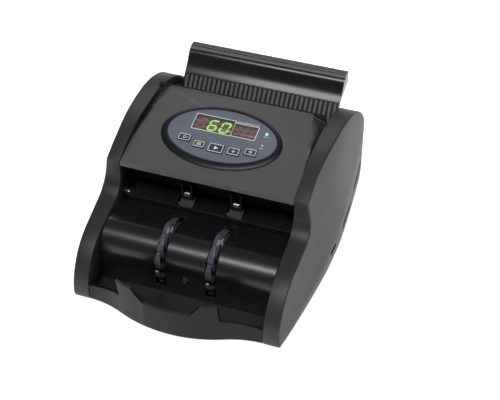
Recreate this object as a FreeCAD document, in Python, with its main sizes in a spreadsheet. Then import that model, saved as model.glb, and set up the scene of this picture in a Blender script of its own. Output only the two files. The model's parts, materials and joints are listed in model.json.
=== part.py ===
import FreeCAD, Part
import math
import os
import Sketcher
from FreeCAD import Placement, Rotation, Vector

# Banknote counting machine.  Millimetres.  X runs to the right as seen from the front, Y to the back,
# Z up.  The origin is the middle of the overall box, on the surface that the rubber feet rest on.
# Lengths "from the front" are counted along Y from the front edge of the side covers.

os.makedirs("parts", exist_ok=True)
doc = FreeCAD.newDocument("banknote_counter")
sheet = doc.addObject("Spreadsheet::Sheet", "Dims")

DIMENSIONS = [
    ("front_edge", -132.3, "Y of the side covers' front edge"),
    ("rear_edge", 280, "rear face, from the front"),
    ("foot_lift", 2, "height of the case above the surface"),
    ("wall", 2.5, "moulded wall thickness"),
    ("inner_half", 86.5, "half the width between the side covers"),
    ("cover_gap", 0.4, "gap between neighbouring covers"),
    ("cover_front", 86, "front cover's lower edge, from the front"),
    ("cover_front_level", 102.4, "height of the front cover's lower edge"),
    ("cover_top", 187, "front cover's upper edge, from the front"),
    ("cover_top_level", 126, "height of the front cover's upper edge"),
    ("cover_lip", 5, "depth of the front cover's lower lip"),
    ("bevel_start", 114.2, "start of the front cover's side bevels, from the front"),
    ("bevel_inset", 13, "width of a side bevel at the upper edge"),
    ("bevel_drop", 7, "fall of a side bevel at the upper edge"),
    ("apron_bulge", 17.8, "how far the apron stands out in the middle"),
    ("apron_shoulder", 7.2, "how far the apron stands out where its curve reverses"),
    ("apron_shoulder_half", 52, "half the width between the reversals"),
    ("apron_wall", 3, "apron wall thickness"),
    ("tooth_level", 43, "height of the apron's two teeth"),
    ("notch_level", 31.5, "height of the finger notch's floor"),
    ("floor_top", 4.6, "height of the base tray's top face"),
    ("stacker_back", 53, "stacker axis, from the front"),
    ("stacker_level", 37, "height of the stacker axis"),
    ("drum_radius", 24, "outer radius of the stacker cover's curve"),
    ("blade_radius", 31.4, "stacker wheel radius"),
    ("blade_width", 6, "stacker wheel width"),
    ("wheel_half", 25, "half the distance between the stacker wheels"),
    ("slot_width", 10, "stacker cover's slot width"),
    ("exit_back", 104, "exit shaft, from the front"),
    ("exit_level", 49.5, "height of the exit shaft"),
    ("exit_radius", 10, "exit roller radius"),
    ("pinch_level", 64.6, "height of the pinch rollers' pins, over the exit rollers"),
    ("transport_back", 150, "transport shaft, from the front"),
    ("transport_level", 53, "height of the transport shaft"),
    ("transport_radius", 12, "transport roller radius"),
    ("feed_back", 206, "feed shaft, from the front"),
    ("feed_level", 54, "height of the feed shaft"),
    ("feed_radius", 17, "feed roller radius"),
    ("pickup_back", 235, "pickup shaft, from the front"),
    ("pickup_level", 73.5, "height of the pickup shaft"),
    ("pickup_radius", 9, "pickup roller radius"),
    ("motor_back", 172, "motor axis, from the front"),
    ("motor_level", 26, "height of the motor axis"),
    ("motor_radius", 16, "motor case radius"),
    ("motor_length", 48, "motor case length"),
    ("shaft_radius", 3, "shaft radius"),
    ("run_clearance", 0.05, "radial running clearance in the bushes"),
    ("bush_radius", 5.5, "bush outer radius"),
    ("frame_face", 90.5, "inner face of a side frame, from the middle"),
    ("frame_thick", 1.5, "side frame plate thickness"),
    ("shaft_length", 193.5, "length of the driven shafts"),
    ("lane_near", -95.5, "middle of the inner belt lane"),
    ("lane_far", -100.5, "middle of the outer belt lane"),
    ("belt_width", 4, "belt width"),
    ("belt_thick", 1.2, "belt thickness"),
    ("belt_gap", 0.3, "gap between a belt and its pulley"),
    ("path_front", 92, "lower guide's front edge, from the front"),
    ("path_back", 197.5, "lower guide's back edge, from the front"),
    ("path_front_level", 57.5, "note path height at the lower guide's front edge"),
    ("path_back_level", 70, "note path height at the lower guide's back edge"),
    ("path_gap", 5, "height between the two guides"),
    ("guide_half", 84, "half the width of the guides and the chute"),
    ("guide_thick", 2, "guide plate thickness"),
    ("rib_pitch", 5, "pitch of the chute's ribs"),
    ("rib_width", 3.7, "width of a chute rib"),
    ("rib_height", 0.8, "height of a chute rib"),
    ("panel_shift", -2.5, "panel centre to the left of the middle"),
    ("panel_rise", 52, "panel centre above the cover's lower edge, along the slope"),
    ("bezel_half_width", 60.4, "half the bezel's width"),
    ("bezel_half_height", 37.1, "half the bezel's height, along the slope"),
    ("bezel_rim", 6, "width of the bezel's rim"),
    ("bezel_height", 2.6, "how far the bezel stands out"),
    ("overlay_thick", 1.2, "overlay thickness"),
    ("overlay_shift", 2.3, "overlay's centre above the bezel's centre, along the slope"),
    ("key_travel", 0.5, "key travel"),
    ("key_proud", 0.8, "how far a key stands above the overlay"),
    ("key_depth", 4, "height of a key"),
    ("key_gap", 0.35, "gap round a key"),
    ("board_drop", 12, "control board below the cover's face"),
    ("board_thick", 1.6, "circuit board thickness"),
]

for row, (alias, value, meaning) in enumerate(DIMENSIONS, 1):
    sheet.set("A%d" % row, meaning)
    sheet.set("B%d" % row, str(value))
    sheet.setAlias("B%d" % row, alias)
doc.recompute()


def size(alias):
    return float(sheet.get(alias))


FRONT = size("front_edge")
WALL = size("wall")
NODES = []

# The shapes repeated along the object's length: distance from the front, half-width at the base,
# half-width at the height of the sides' top, and the height below which the side stands upright.
SIDE_STATIONS = [
    (-3, 102.4, 95.0, 4),
    (13, 105.0, 95.0, 5),
    (37, 108.3, 94.5, 8),
    (71, 112.0, 95.0, 12),
    (106, 115.0, 97.0, 17),
    (151, 115.9, 101.2, 27),
    (207, 112.4, 103.6, 43),
    (257, 107.6, 104.2, 64),
    (282, 103.0, 102.0, 79),
]
SIDE_TOP = 126

# Keys of the panel: name, centre from the panel's centre along X and along the slope, width and height.
KEYS = [
    ("mode_key", -34.0, -8.6, 12.4, 8.2),
    ("batch_key", -17.6, -13.2, 11.6, 7.8),
    ("start_key", -0.4, -13.8, 15.0, 10.4),
    ("add_key", 17.0, -13.4, 12.0, 8.6),
    ("uv_key", 33.0, -10.0, 11.6, 8.0),
]
# Display windows: centre from the panel's centre along X and along the slope, width and height.
COUNT_WINDOW = (-12.4, 13.6, 39.0, 18.2)
BATCH_WINDOW = (19.6, 12.7, 23.4, 15.6)
# The two signal lamps: distance from the panel's centre along X, and their places up the slope.
LAMP_X = 40.9
LAMP_UPS = (0.6, 15)
LAMP_RADIUS = 1.4


def node(item, label):
    """Mark a finished document object as a sub-part of that name."""
    item.Label = label
    NODES.append(item)
    return item


def feature(shape, name):
    """A document object that holds a shape worked out here."""
    item = doc.addObject("Part::Feature", name)
    item.Shape = shape
    return item


def outline_geometry(points):
    """Line segments and arcs of a closed outline.  (a, b) is a line's end, (a, b, c, d) an arc's
    passing point and end; the first entry is the start."""
    first = Vector(points[0][0], points[0][1], 0)
    here = first
    made = []
    for step in points[1:]:
        if len(step) == 2:
            there = Vector(step[0], step[1], 0)
            made.append(Part.LineSegment(here, there))
        else:
            there = Vector(step[2], step[3], 0)
            made.append(Part.Arc(here, Vector(step[0], step[1], 0), there))
        here = there
    if (here - first).Length > 1e-6:
        made.append(Part.LineSegment(here, first))
    return made


def outline_face(points):
    """The same outline as a face in the YZ plane, at X = 0."""
    wire = Part.Wire([piece.toShape() for piece in outline_geometry(points)])
    face = Part.Face(wire)
    face.Placement = Placement(Vector(0, FRONT, 0), Rotation(Vector(1, 1, 1), 120))
    return face


def across(face, start, end):
    """A face of the YZ plane swept along X from start to end."""
    moved = face.copy()
    moved.translate(Vector(start, 0, 0))
    return moved.extrude(Vector(end - start, 0, 0))


def block(x_low, x_high, back_low, back_high, low, high):
    """A plain box between two corners, with Y counted from the front."""
    corner = Vector(x_low, FRONT + back_low, low)
    return Part.makeBox(x_high - x_low, back_high - back_low, high - low, corner)


def rod(radius, x_low, x_high, back, level):
    """A cylinder along X."""
    return Part.makeCylinder(radius, x_high - x_low, Vector(x_low, FRONT + back, level), Vector(1, 0, 0))


def origin_plane(body, role):
    return [item for item in body.Origin.OriginFeatures if item.Role == role][0]


def add_sketch(body, role, name):
    sketch = body.newObject("Sketcher::SketchObject", name)
    sketch.AttachmentSupport = [(origin_plane(body, role), "")]
    sketch.MapMode = "FlatFace"
    return sketch


def profile_body(name, role, points, length):
    """A body padded evenly both ways from an outline; length is an expression."""
    body = doc.addObject("PartDesign::Body", name)
    sketch = add_sketch(body, role, name + "_outline")
    for piece in outline_geometry(points):
        sketch.addGeometry(piece, False)
    pad = body.newObject("PartDesign::Pad", name + "_pad")
    pad.Profile = sketch
    pad.SideType = "Symmetric"
    pad.setExpression("Length", length)
    body.Tip = pad
    return body


def side_body(name, points, length):
    """A body whose outline lies in the YZ plane with Y counted from the front."""
    body = profile_body(name, "YZ_Plane", points, length)
    body.setExpression("Placement.Base.y", "Dims.front_edge")
    return body


def plate_body(name, width, height, thick):
    """A rectangular plate from a constrained sketch; the sizes are expressions."""
    body = doc.addObject("PartDesign::Body", name)
    sketch = add_sketch(body, "XY_Plane", name + "_outline")
    corners = [Vector(-5, -5, 0), Vector(5, -5, 0), Vector(5, 5, 0), Vector(-5, 5, 0)]
    for index in range(4):
        sketch.addGeometry(Part.LineSegment(corners[index], corners[(index + 1) % 4]), False)
    for index in range(4):
        sketch.addConstraint(Sketcher.Constraint("Coincident", index, 2, (index + 1) % 4, 1))
    for index in (0, 2):
        sketch.addConstraint(Sketcher.Constraint("Horizontal", index))
        sketch.addConstraint(Sketcher.Constraint("Vertical", index + 1))
    sketch.addConstraint(Sketcher.Constraint("Symmetric", 0, 1, 2, 1, -1, 1))
    wide = sketch.addConstraint(Sketcher.Constraint("DistanceX", 0, 1, 0, 2, 10))
    high = sketch.addConstraint(Sketcher.Constraint("DistanceY", 1, 1, 1, 2, 10))
    sketch.setExpression("Constraints[%d]" % wide, width)
    sketch.setExpression("Constraints[%d]" % high, height)
    pad = body.newObject("PartDesign::Pad", name + "_pad")
    pad.Profile = sketch
    pad.setExpression("Length", thick)
    body.Tip = pad
    return body


def cut(name, base, *tools):
    """A boolean cut of one document object by others."""
    if len(tools) > 1:
        joined = doc.addObject("Part::MultiFuse", name + "_tools")
        joined.Shapes = list(tools)
    else:
        joined = tools[0]
    item = doc.addObject("Part::Cut", name)
    item.Base = base
    item.Tool = joined
    return item


def fuse(name, *parts):
    item = doc.addObject("Part::MultiFuse", name)
    item.Shapes = list(parts)
    return item


def bound_box(name, place, sizes):
    """A Part box; place is its lowest corner (X, from the front, Z) and sizes its lengths, as expressions."""
    item = doc.addObject("Part::Box", name)
    for key, text in zip(("Length", "Width", "Height"), sizes):
        item.setExpression(key, text)
    item.setExpression("Placement.Base.x", place[0])
    item.setExpression("Placement.Base.y", "Dims.front_edge + " + place[1])
    item.setExpression("Placement.Base.z", place[2])
    return item


def bound_rod(name, radius, length, start, back, level):
    """A Part cylinder along X, starting at X = start; all sizes are expressions."""
    item = doc.addObject("Part::Cylinder", name)
    item.Placement = Placement(Vector(), Rotation(Vector(0, 1, 0), 90))
    item.setExpression("Radius", radius)
    item.setExpression("Height", length)
    item.setExpression("Placement.Base.x", start)
    item.setExpression("Placement.Base.y", "Dims.front_edge + " + back)
    item.setExpression("Placement.Base.z", level)
    return item


# ---------------------------------------------------------------- side covers

def side_outline():
    """The side covers' outline in the YZ plane, clockwise from the toe."""
    bottom = size("foot_lift")
    back = size("rear_edge")
    front = size("cover_front")
    return [
        (0, bottom),
        (-1.2, 14, 5, 33),
        (21.5, 51.5, 44, 60.2),
        (70, 67),
        (81.5, 74.5, front, 88),
        (front, size("cover_front_level")),
        (118, 115.8, 158, 120),
        (200, 117, 234, 104),
        (260, 80.5, 278, 49),
        (back, 30),
        (back, bottom),
    ]


def side_block(inset):
    """The space inside the right-hand side surface moved in by inset, from X = 0 outwards."""
    wires = []
    for back, base, top, upright in SIDE_STATIONS:
        here = FRONT + back
        low = -10
        corners = [(0, low), (base - inset, low), (base - inset, upright), (top - inset, SIDE_TOP + 4)]
        corners.append((0, SIDE_TOP + 4))
        corners.append(corners[0])
        wires.append(Part.makePolygon([Vector(x, here, z) for x, z in corners]))
    return Part.makeLoft(wires, True, False)


def offset_face(face, inset):
    return face.makeOffset2D(-inset, 2, False, False, True)


SIDE_FACE = outline_face(side_outline())
FAR = 140


def right_cover_shape():
    inner = size("inner_half")
    skin = side_block(0).common(across(SIDE_FACE, inner, FAR))
    hollow_face = offset_face(SIDE_FACE, WALL)
    lowered = hollow_face.copy()
    lowered.translate(Vector(0, 0, -2 * WALL))
    hollow = across(hollow_face, inner + WALL, FAR).fuse(across(lowered, inner + WALL, FAR))
    hollow = hollow.common(side_block(WALL))
    shell = skin.cut(hollow)
    # Behind the pocket the inner wall is only a short skirt, and the mechanism is open to the frames.
    skirt = 14
    open_face = offset_face(SIDE_FACE, skirt)
    dropped = open_face.copy()
    dropped.translate(Vector(0, 0, -2 * skirt))
    behind = across(open_face, inner - 1, inner + WALL + 1)
    behind = behind.fuse(across(dropped, inner - 1, inner + WALL + 1))
    behind = behind.common(block(inner - 1, inner + WALL + 1, size("path_front"), 268, -20, SIDE_TOP))
    shell = shell.cut(behind)
    # The inner wall stands on the base tray.
    inner_foot = block(inner - 1, inner + WALL + 0.01, 3, 277, -5, size("floor_top"))
    shell = shell.cut(inner_foot)
    # An open slot lets the cover drop over the stacker shaft.
    shaft_slot = block(inner - 1, inner + WALL + 1, 48, 58, -5, size("stacker_level"))
    shaft_hole = rod(5, inner - 1, inner + WALL + 1, size("stacker_back"), size("stacker_level"))
    shell = shell.cut(shaft_slot.fuse(shaft_hole))
    return shell.cut(side_vents()).removeSplitter()


def side_vents():
    """Three long cooling slots low in the side."""
    vents = []
    for back, level, length, height in ((238, 21, 44, 5), (178, 14.5, 32, 4.5), (126, 16, 13, 4)):
        middle = block(95, FAR, back - length / 2, back + length / 2, level - height / 2, level + height / 2)
        ends = [rod(height / 2, 95, FAR, back + step * length / 2, level) for step in (-1, 1)]
        vents.append(middle.fuse(ends))
    return vents[0].fuse(vents[1:])


right_shape = right_cover_shape()
node(feature(right_shape, "RightSide"), "right_side_cover")
node(feature(right_shape.mirror(Vector(), Vector(1, 0, 0)), "LeftSide"), "left_side_cover")


# ---------------------------------------------------------------- base tray and apron

def apron_curve(offset):
    """The apron's plan outline from left to right: three tangent arcs, moved back by offset."""
    half = size("inner_half") - size("cover_gap")
    bulge = size("apron_bulge") - offset
    knee = size("apron_shoulder") - offset
    knee_half = size("apron_shoulder_half")
    middle = (half + knee_half) / 2
    dip = 0.26 * size("apron_shoulder") - offset
    return [
        (-half, offset),
        (-middle, -dip, -knee_half, -knee),
        (0, -bulge, knee_half, -knee),
        (middle, -dip, half, offset),
    ]


def plan_wire(front_curve, back):
    """Closed plan outline from a front curve to a straight back edge."""
    half = front_curve[-1][-2]
    return front_curve + [(half, back), (-half, back)]


def plan_face(points, level):
    wire = Part.Wire([piece.toShape() for piece in outline_geometry(points)])
    face = Part.Face(wire)
    face.translate(Vector(0, FRONT, level))
    return face


def apron_elevation():
    """The apron's front view: low ends, two teeth and the finger notch between them."""
    half = size("inner_half") + 2
    tooth = size("tooth_level")
    notch = size("notch_level")
    return [
        (-half, -5), (half, -5), (half, 18), (81, 20), (48, 25.6), (46.5, tooth), (31, tooth),
        (22, notch), (-24, notch), (-36, tooth), (-54, tooth), (-51, 25.6), (-81, 20), (-half, 18),
    ]


def apron_shape():
    bottom = size("foot_lift")
    high = size("tooth_level") - bottom
    gap = size("apron_wall")
    outer = plan_face(plan_wire(apron_curve(0), gap + 30), bottom).extrude(Vector(0, 0, high))
    inner = plan_face(plan_wire(apron_curve(gap), gap + 31), bottom - 1).extrude(Vector(0, 0, high + 2))
    wall = outer.cut(inner)
    wire = Part.makePolygon([Vector(x, FRONT - 40, z) for x, z in apron_elevation() + apron_elevation()[:1]])
    view = Part.Face(wire).extrude(Vector(0, 80, 0))
    return wall.common(view).removeSplitter()


node(feature(apron_shape(), "Apron"), "front_apron")


SCREW_SPOTS = [(x, back) for x in (-94, 94) for back in (40, 110, 180, 246)]


def tray_shape():
    """The floor of the case, with its front edge following the inside of the apron."""
    bottom = size("foot_lift")
    thick = size("floor_top") - bottom
    gap = size("cover_gap")
    inside = side_block(WALL + gap)
    inside = inside.fuse(inside.mirror(Vector(), Vector(1, 0, 0)))
    floor = inside.common(block(-FAR, FAR, WALL + gap, size("rear_edge") - WALL - gap, bottom, bottom + thick))
    nose = plan_face(plan_wire(apron_curve(size("apron_wall") + gap), 20), bottom)
    floor = floor.fuse(nose.extrude(Vector(0, 0, thick))).removeSplitter()
    for x, back in SCREW_SPOTS:
        floor = floor.cut(Part.makeCylinder(1.6, 10, Vector(x, FRONT + back, 0)))
    return floor


node(feature(tray_shape(), "Tray"), "base_tray")


# ---------------------------------------------------------------- front cover and its panel

def front_cover_shape():
    """A sloping lid with a lower lip, an upper lip and a long bevel down each side."""
    half = size("inner_half") - size("cover_gap")
    front, front_level = size("cover_front"), size("cover_front_level")
    top, top_level = size("cover_top"), size("cover_top_level")
    bevel = size("bevel_start")
    bevel_level = front_level + (top_level - front_level) * (bevel - front) / (top - front)
    inset = half - size("bevel_inset")
    low = top_level - size("bevel_drop")

    def at(x, back, level):
        return Vector(x, FRONT + back, level)

    flat = [at(-half, front, front_level), at(half, front, front_level), at(half, bevel, bevel_level),
            at(inset, top, top_level), at(-inset, top, top_level), at(-half, bevel, bevel_level)]
    down = Vector(0, 0, -WALL)
    pieces = [Part.Face(Part.makePolygon(flat + flat[:1])).extrude(down)]
    for side in (-1, 1):
        facet = [at(side * half, bevel, bevel_level), at(side * inset, top, top_level), at(side * half, top, low)]
        pieces.append(Part.Face(Part.makePolygon(facet + facet[:1])).extrude(down))
    lip = size("cover_lip")
    pieces.append(block(-half, half, front, front + WALL, front_level - lip, front_level - 0.5))
    rear = Part.Face(Part.makePolygon([
        at(-half, top, low), at(-inset, top, top_level), at(inset, top, top_level), at(half, top, low),
        at(half, top, low - 9), at(-half, top, low - 9), at(-half, top, low)]))
    pieces.append(rear.extrude(Vector(0, -WALL, 0)))
    return pieces[0].multiFuse(pieces[1:]).removeSplitter()


SLOPE = math.degrees(math.atan2(size("cover_top_level") - size("cover_front_level"),
                                size("cover_top") - size("cover_front")))


def panel_place(shift_x=0.0, shift_up=0.0, lift=0.0):
    """Placement on the cover's face: X across, Y up the slope, Z out of the face."""
    turn = Rotation(Vector(1, 0, 0), SLOPE)
    corner = Vector(0, FRONT + size("cover_front"), size("cover_front_level"))
    local = Vector(size("panel_shift") + shift_x, size("panel_rise") + shift_up, lift)
    return Placement(corner + turn.multVec(local), turn)


def oval(half_width, half_height, level, rise=0.0):
    """An oval wire on the panel, half_width across and half_height up the slope."""
    ellipse = Part.Ellipse(Vector(0, rise, level), half_width, half_height)
    return Part.Wire([ellipse.toShape()])


def inner_oval(inset, low, high):
    """A block with the overlay's outline, inset from the bezel's outline and shifted up the slope."""
    wide, tall = size("bezel_half_width") - inset, size("bezel_half_height") - inset
    return Part.Face(oval(wide, tall, low, size("overlay_shift"))).extrude(Vector(0, 0, high - low))


cover_shape = front_cover_shape()
rim = size("bezel_rim")
rest = 2
opening = inner_oval(rim + rest, -20, 20)
opening.Placement = panel_place()
node(feature(cover_shape.cut(opening), "FrontCover"), "front_cover")


def bezel_shape():
    wide, high = size("bezel_half_width"), size("bezel_half_height")
    proud = size("bezel_height")
    outer = Part.makeLoft([oval(wide, high, 0), oval(wide - 4, high - 4, proud)], True, True)
    return outer.cut(inner_oval(rim, -1, proud + 1))


bezel = feature(bezel_shape(), "Bezel")
bezel.Placement = panel_place()
node(bezel, "panel_bezel")


def overlay_shape():
    thick = size("overlay_thick")
    face = inner_oval(rim + 0.2, 0.05, thick)
    gap = size("key_gap")
    for name, x, y, wide, high in KEYS:
        corner = Vector(x - wide / 2 - gap, y - high / 2 - gap, -1)
        face = face.cut(Part.makeBox(wide + 2 * gap, high + 2 * gap, thick + 2, corner))
    for x, y, wide, high in (COUNT_WINDOW, BATCH_WINDOW):
        face = face.cut(Part.makeBox(wide, high, thick + 2, Vector(x - wide / 2, y - high / 2, -1)))
    for y in LAMP_UPS:
        face = face.cut(Part.makeCylinder(LAMP_RADIUS + 0.1, thick + 2, Vector(LAMP_X, y, -1)))
    return face


overlay = feature(overlay_shape(), "Overlay")
overlay.Placement = panel_place()
node(overlay, "panel_overlay")

for name, x, y, wide, high in KEYS:
    key = plate_body(name.title().replace("_", ""), str(wide), str(high), "Dims.key_depth")
    top = size("overlay_thick") + size("key_proud")
    key.Placement = panel_place(x, y, top - size("key_depth"))
    node(key, name)


DISPLAY_DEPTH = 7


def display_block(name, window, label):
    x, y, wide, high = window
    body = plate_body(name, str(wide - 0.6), str(high - 0.6), str(DISPLAY_DEPTH + 0.4))
    body.Placement = panel_place(x, y, -DISPLAY_DEPTH)
    return node(body, label)


display_block("CountDisplay", COUNT_WINDOW, "count_display")
display_block("BatchDisplay", BATCH_WINDOW, "batch_display")


def lamp_shape():
    lamps = []
    for y in LAMP_UPS:
        stem = Part.makeCylinder(LAMP_RADIUS, 6.4, Vector(LAMP_X, y, -6))
        foot = Part.makeCylinder(LAMP_RADIUS + 0.5, 3, Vector(LAMP_X, y, -6))
        lamps.append(stem.fuse(foot))
    return Part.makeCompound(lamps)


lamps = feature(lamp_shape(), "Lamps")
lamps.Placement = panel_place()
node(lamps, "indicator_lamps")

board = plate_body("ControlBoard", "96", "52", "Dims.board_thick")
board.Placement = panel_place(0, 0, -size("board_drop"))
node(board, "control_board")


# ---------------------------------------------------------------- stacker cover

drum = size("drum_radius")
axis_back, axis_level = size("stacker_back"), size("stacker_level")


def drum_outline(radius, tail, floor):
    """The stacker cover's outline: upright front, quarter circle over the wheels, long sloping top."""
    diagonal = radius * math.sqrt(0.5)
    return [
        (axis_back - radius, floor),
        (axis_back - radius, axis_level),
        (axis_back - diagonal, axis_level + diagonal, axis_back, axis_level + radius),
    ] + tail


def stacker_cover_outline():
    floor = size("floor_top")
    inner = drum - WALL
    tail = [(88, 55), (88, 50), (86, 50), (86, 52.6), (axis_back, axis_level + inner)]
    outline = drum_outline(drum, tail, floor)
    diagonal = inner * math.sqrt(0.5)
    outline.append((axis_back - diagonal, axis_level + diagonal, axis_back - inner, axis_level))
    outline.append((axis_back - inner, floor))
    return outline


drum_body = side_body("DrumCover", stacker_cover_outline(), "2 * (Dims.inner_half - Dims.cover_gap)")
slots = []
for side in (-1, 1):
    name = "LeftSlot" if side < 0 else "RightSlot"
    start = "%d * Dims.wheel_half - Dims.slot_width / 2" % side
    slots.append(bound_box(name, (start, "15", "12"), ("Dims.slot_width", "65", "60")))
recess = doc.addObject("Part::Cylinder", "ScrewRecess")
recess.Radius = 3.6
recess.Height = 12
recess.Placement = Placement(Vector(0, FRONT + 22, 27), Rotation(Vector(1, 0, 0), -90))
node(cut("StackerCover", drum_body, slots[0], slots[1], recess), "stacker_cover")


def pan_head_screw(radius, head, length):
    """A cross-recessed screw pointing along -Z, its head's top at Z = head."""
    body = Part.makeCylinder(radius, head).fuse(Part.makeCylinder(radius / 2, length, Vector(0, 0, -length)))
    for turn in (0, 90):
        blade = Part.makeBox(radius * 1.2, 0.7, 2, Vector(-radius * 0.6, -0.35, head - 0.9))
        blade.rotate(Vector(), Vector(0, 0, 1), turn)
        body = body.cut(blade)
    return body


def placed(shape, x, back, level, turn):
    item = shape.copy()
    item.Placement = Placement(Vector(x, FRONT + back, level), turn)
    return item


# ---------------------------------------------------------------- hopper chute and rear cover

def chute_outline():
    """Chute section: flat foot, long ribbed slope, hollow back rest and a broad rounded top."""
    thick = 2.8
    return [
        (199, 70.2),
        (212, 70.2),
        (221, 73.2, 228, 79.5),
        (246, 101.5),
        (253.4, 109.3, 257.6, 115.9),
        (262.2, 120.4, 268.6, 122.5),
        (272.2, 121.9),
        (274.1, 121, 274.8, 119.2),
        (274.4, 108),
        (272, 108),
        (272.2, 118.6),
        (263.6, 119.8),
        (261.4, 118.4, 260.2, 115.4),
        (255.9, 107.7, 248.3, 99.8),
        (230.2, 77.8),
        (222.4, 70.8, 212.6, 70.2 - thick),
        (199, 70.2 - thick),
    ]


chute_body = side_body("ChuteBody", chute_outline(), "2 * Dims.guide_half")


def chute_ribs():
    """Straight ribs up the sloping part of the chute."""
    count = int(2 * size("guide_half") / size("rib_pitch"))
    pitch, wide, proud = size("rib_pitch"), size("rib_width"), size("rib_height")
    bottom, top = Vector(0, FRONT + 230, 81.94), Vector(0, FRONT + 245, 100.28)
    along = top - bottom
    tilt = math.degrees(math.atan2(along.z, along.y))
    ribs = []
    for index in range(count):
        x = (index - (count - 1) / 2) * pitch
        rib = Part.makeBox(wide, along.Length, proud + 1, Vector(-wide / 2, 0, -1))
        rib.Placement = Placement(bottom + Vector(x, 0, 0), Rotation(Vector(1, 0, 0), tilt))
        ribs.append(rib)
    return Part.makeCompound(ribs)


def chute_end_caps():
    """Plates that close the hollow top at both ends."""
    face = outline_face([(248.3, 99.8), (255.9, 107.7), (260.2, 115.4), (263.6, 119.8), (272.2, 118.6), (272.1, 108)])
    end, cap = size("guide_half"), size("wall")
    return Part.makeCompound([across(face, end - cap, end), across(face, -end, cap - end)])


rib_set = feature(chute_ribs(), "ChuteRibs")
chute = fuse("ChuteWithRibs", chute_body, rib_set, feature(chute_end_caps(), "ChuteEndCaps"))
grooves = [bound_rod("Groove%d" % index, "0.45", "2 * Dims.guide_half + 2", "-Dims.guide_half - 1", back, level)
           for index, (back, level) in enumerate((("265.4", "121.97"), ("267.9", "122.54"), ("270.4", "122.2")))]
roller_windows = []
for side in (-1, 1):
    for tag, back, low, high in (("Feed", 188, 60, 77), ("Pickup", 222, 64, 90)):
        name = tag + ("Left" if side < 0 else "Right")
        start = "%d * Dims.wheel_half - 9" % side
        depth = "20" if tag == "Pickup" else "32"
        roller_windows.append(bound_box(name, (start, str(back), str(low)), ("18", depth, str(high - low))))
node(cut("Chute", chute, *roller_windows, *grooves), "hopper_chute")


def rear_cover_shape():
    """The back of the case: the sides' outline carried across between them, with openings and gussets."""
    half = size("inner_half") - size("cover_gap")
    shell = across(SIDE_FACE, -half, half).cut(across(offset_face(SIDE_FACE, WALL), -half, half))
    shell = shell.common(block(-half, half, 252, 285, size("floor_top"), 92.5))
    inlet = block(28, 56, 270, 285, 14, 34.5)
    switch = block(8, 22, 270, 285, 14, 34.5)
    shell = shell.cut(inlet.fuse(switch))
    for index in range(9):
        x = -70 + index * 8
        slot = block(x, x + 4, 270, 285, 12, 38)
        shell = shell.cut(slot)
    gusset_face = outline_face([(253, 86), (262, 76), (264, 79), (268, 119), (263.5, 119)])
    for x in (-72, -24, 24, 72):
        shell = shell.fuse(across(gusset_face, x - 1.5, x + 1.5))
    return shell.removeSplitter()


node(feature(rear_cover_shape(), "RearCover"), "rear_cover")


def inlet_shape():
    flange = block(26, 58, 280, 282, 12.2, 36.3)
    case = block(28.3, 55.7, 262, 280, 14.3, 34.2)
    socket = block(30.5, 53.5, 265, 283, 17, 31.5)
    shell = flange.fuse(case).cut(socket)
    pins = [block(x - 1, x + 1, 264, 276, z - 2, z + 2) for x, z in ((35, 22.5), (42, 27), (49, 22.5))]
    return shell.fuse(pins)


node(feature(inlet_shape(), "Inlet"), "power_inlet")


def switch_frame_shape():
    outer = block(6.5, 23.5, 280, 281.6, 12.5, 36)
    case = block(8.3, 21.7, 266, 280, 14.3, 34.2)
    return outer.fuse(case).cut(block(9.6, 20.4, 268, 283, 15.6, 32.9))


node(feature(switch_frame_shape(), "SwitchFrame"), "switch_frame")
SWITCH_LEVEL = 24.25
rocker_face = outline_face([
    (280.9, SWITCH_LEVEL - 6.2), (282.4, SWITCH_LEVEL + 6.2), (277, SWITCH_LEVEL + 5.6),
    (272.5, SWITCH_LEVEL + 2.5), (272.5, SWITCH_LEVEL - 2.5), (276.2, SWITCH_LEVEL - 5.6)])
node(feature(across(rocker_face, 10, 20), "Rocker"), "power_rocker")


# ---------------------------------------------------------------- frames, guides and shafts

def frame_outline():
    return [
        (44, 6), (250, 6), (252, 74), (240, 92), (190, 104), (120, 102), (96, 92), (88, 66), (44, 50),
    ]


SHAFTS = [
    ("stacker", "Dims.stacker_back", "Dims.stacker_level"),
    ("exit", "Dims.exit_back", "Dims.exit_level"),
    ("transport", "Dims.transport_back", "Dims.transport_level"),
    ("feed", "Dims.feed_back", "Dims.feed_level"),
    ("pickup", "Dims.pickup_back", "Dims.pickup_level"),
]

frame_middle = size("frame_face") + size("frame_thick") / 2
for side, label in ((-1, "left_frame"), (1, "right_frame")):
    name = label.title().replace("_", "")
    plate = side_body(name + "Plate", frame_outline(), "Dims.frame_thick")
    plate.setExpression("Placement.Base.x", "%d * (Dims.frame_face + Dims.frame_thick / 2)" % side)
    holes = []
    for shaft, back, level in SHAFTS:
        start = "%d * (Dims.frame_face + Dims.frame_thick / 2) - 5" % side
        holes.append(bound_rod(name + shaft, "Dims.bush_radius", "10", start, back, level))
    if side < 0:
        start = "-(Dims.frame_face + 5)"
        holes.append(bound_rod(name + "Motor", "8", "10", start, "Dims.motor_back", "Dims.motor_level"))
    node(cut(name, plate, *holes), label)

TIES = [(232, 12), (120, 12), (178, 96), (116, 94)]
ties = [bound_rod("Tie%d" % index, "3", "2 * Dims.frame_face", "-Dims.frame_face", str(back), str(level))
        for index, (back, level) in enumerate(TIES)]
tie_bars = doc.addObject("Part::Compound", "TieBars")
tie_bars.Links = ties
node(tie_bars, "tie_bars")


def path_level(back):
    """Height of the note path at a distance from the front."""
    start, end = size("path_front"), size("path_back")
    low, high = size("path_front_level"), size("path_back_level")
    return low + (high - low) * (back - start) / (end - start)


def lower_guide_outline():
    start, end, thick = size("path_front"), size("path_back"), size("guide_thick")
    return [
        (start, path_level(start)), (end, path_level(end)), (end, path_level(end) - thick),
        (start + 2, path_level(start) - thick), (start + 2, 48), (start, 48),
    ]


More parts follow.
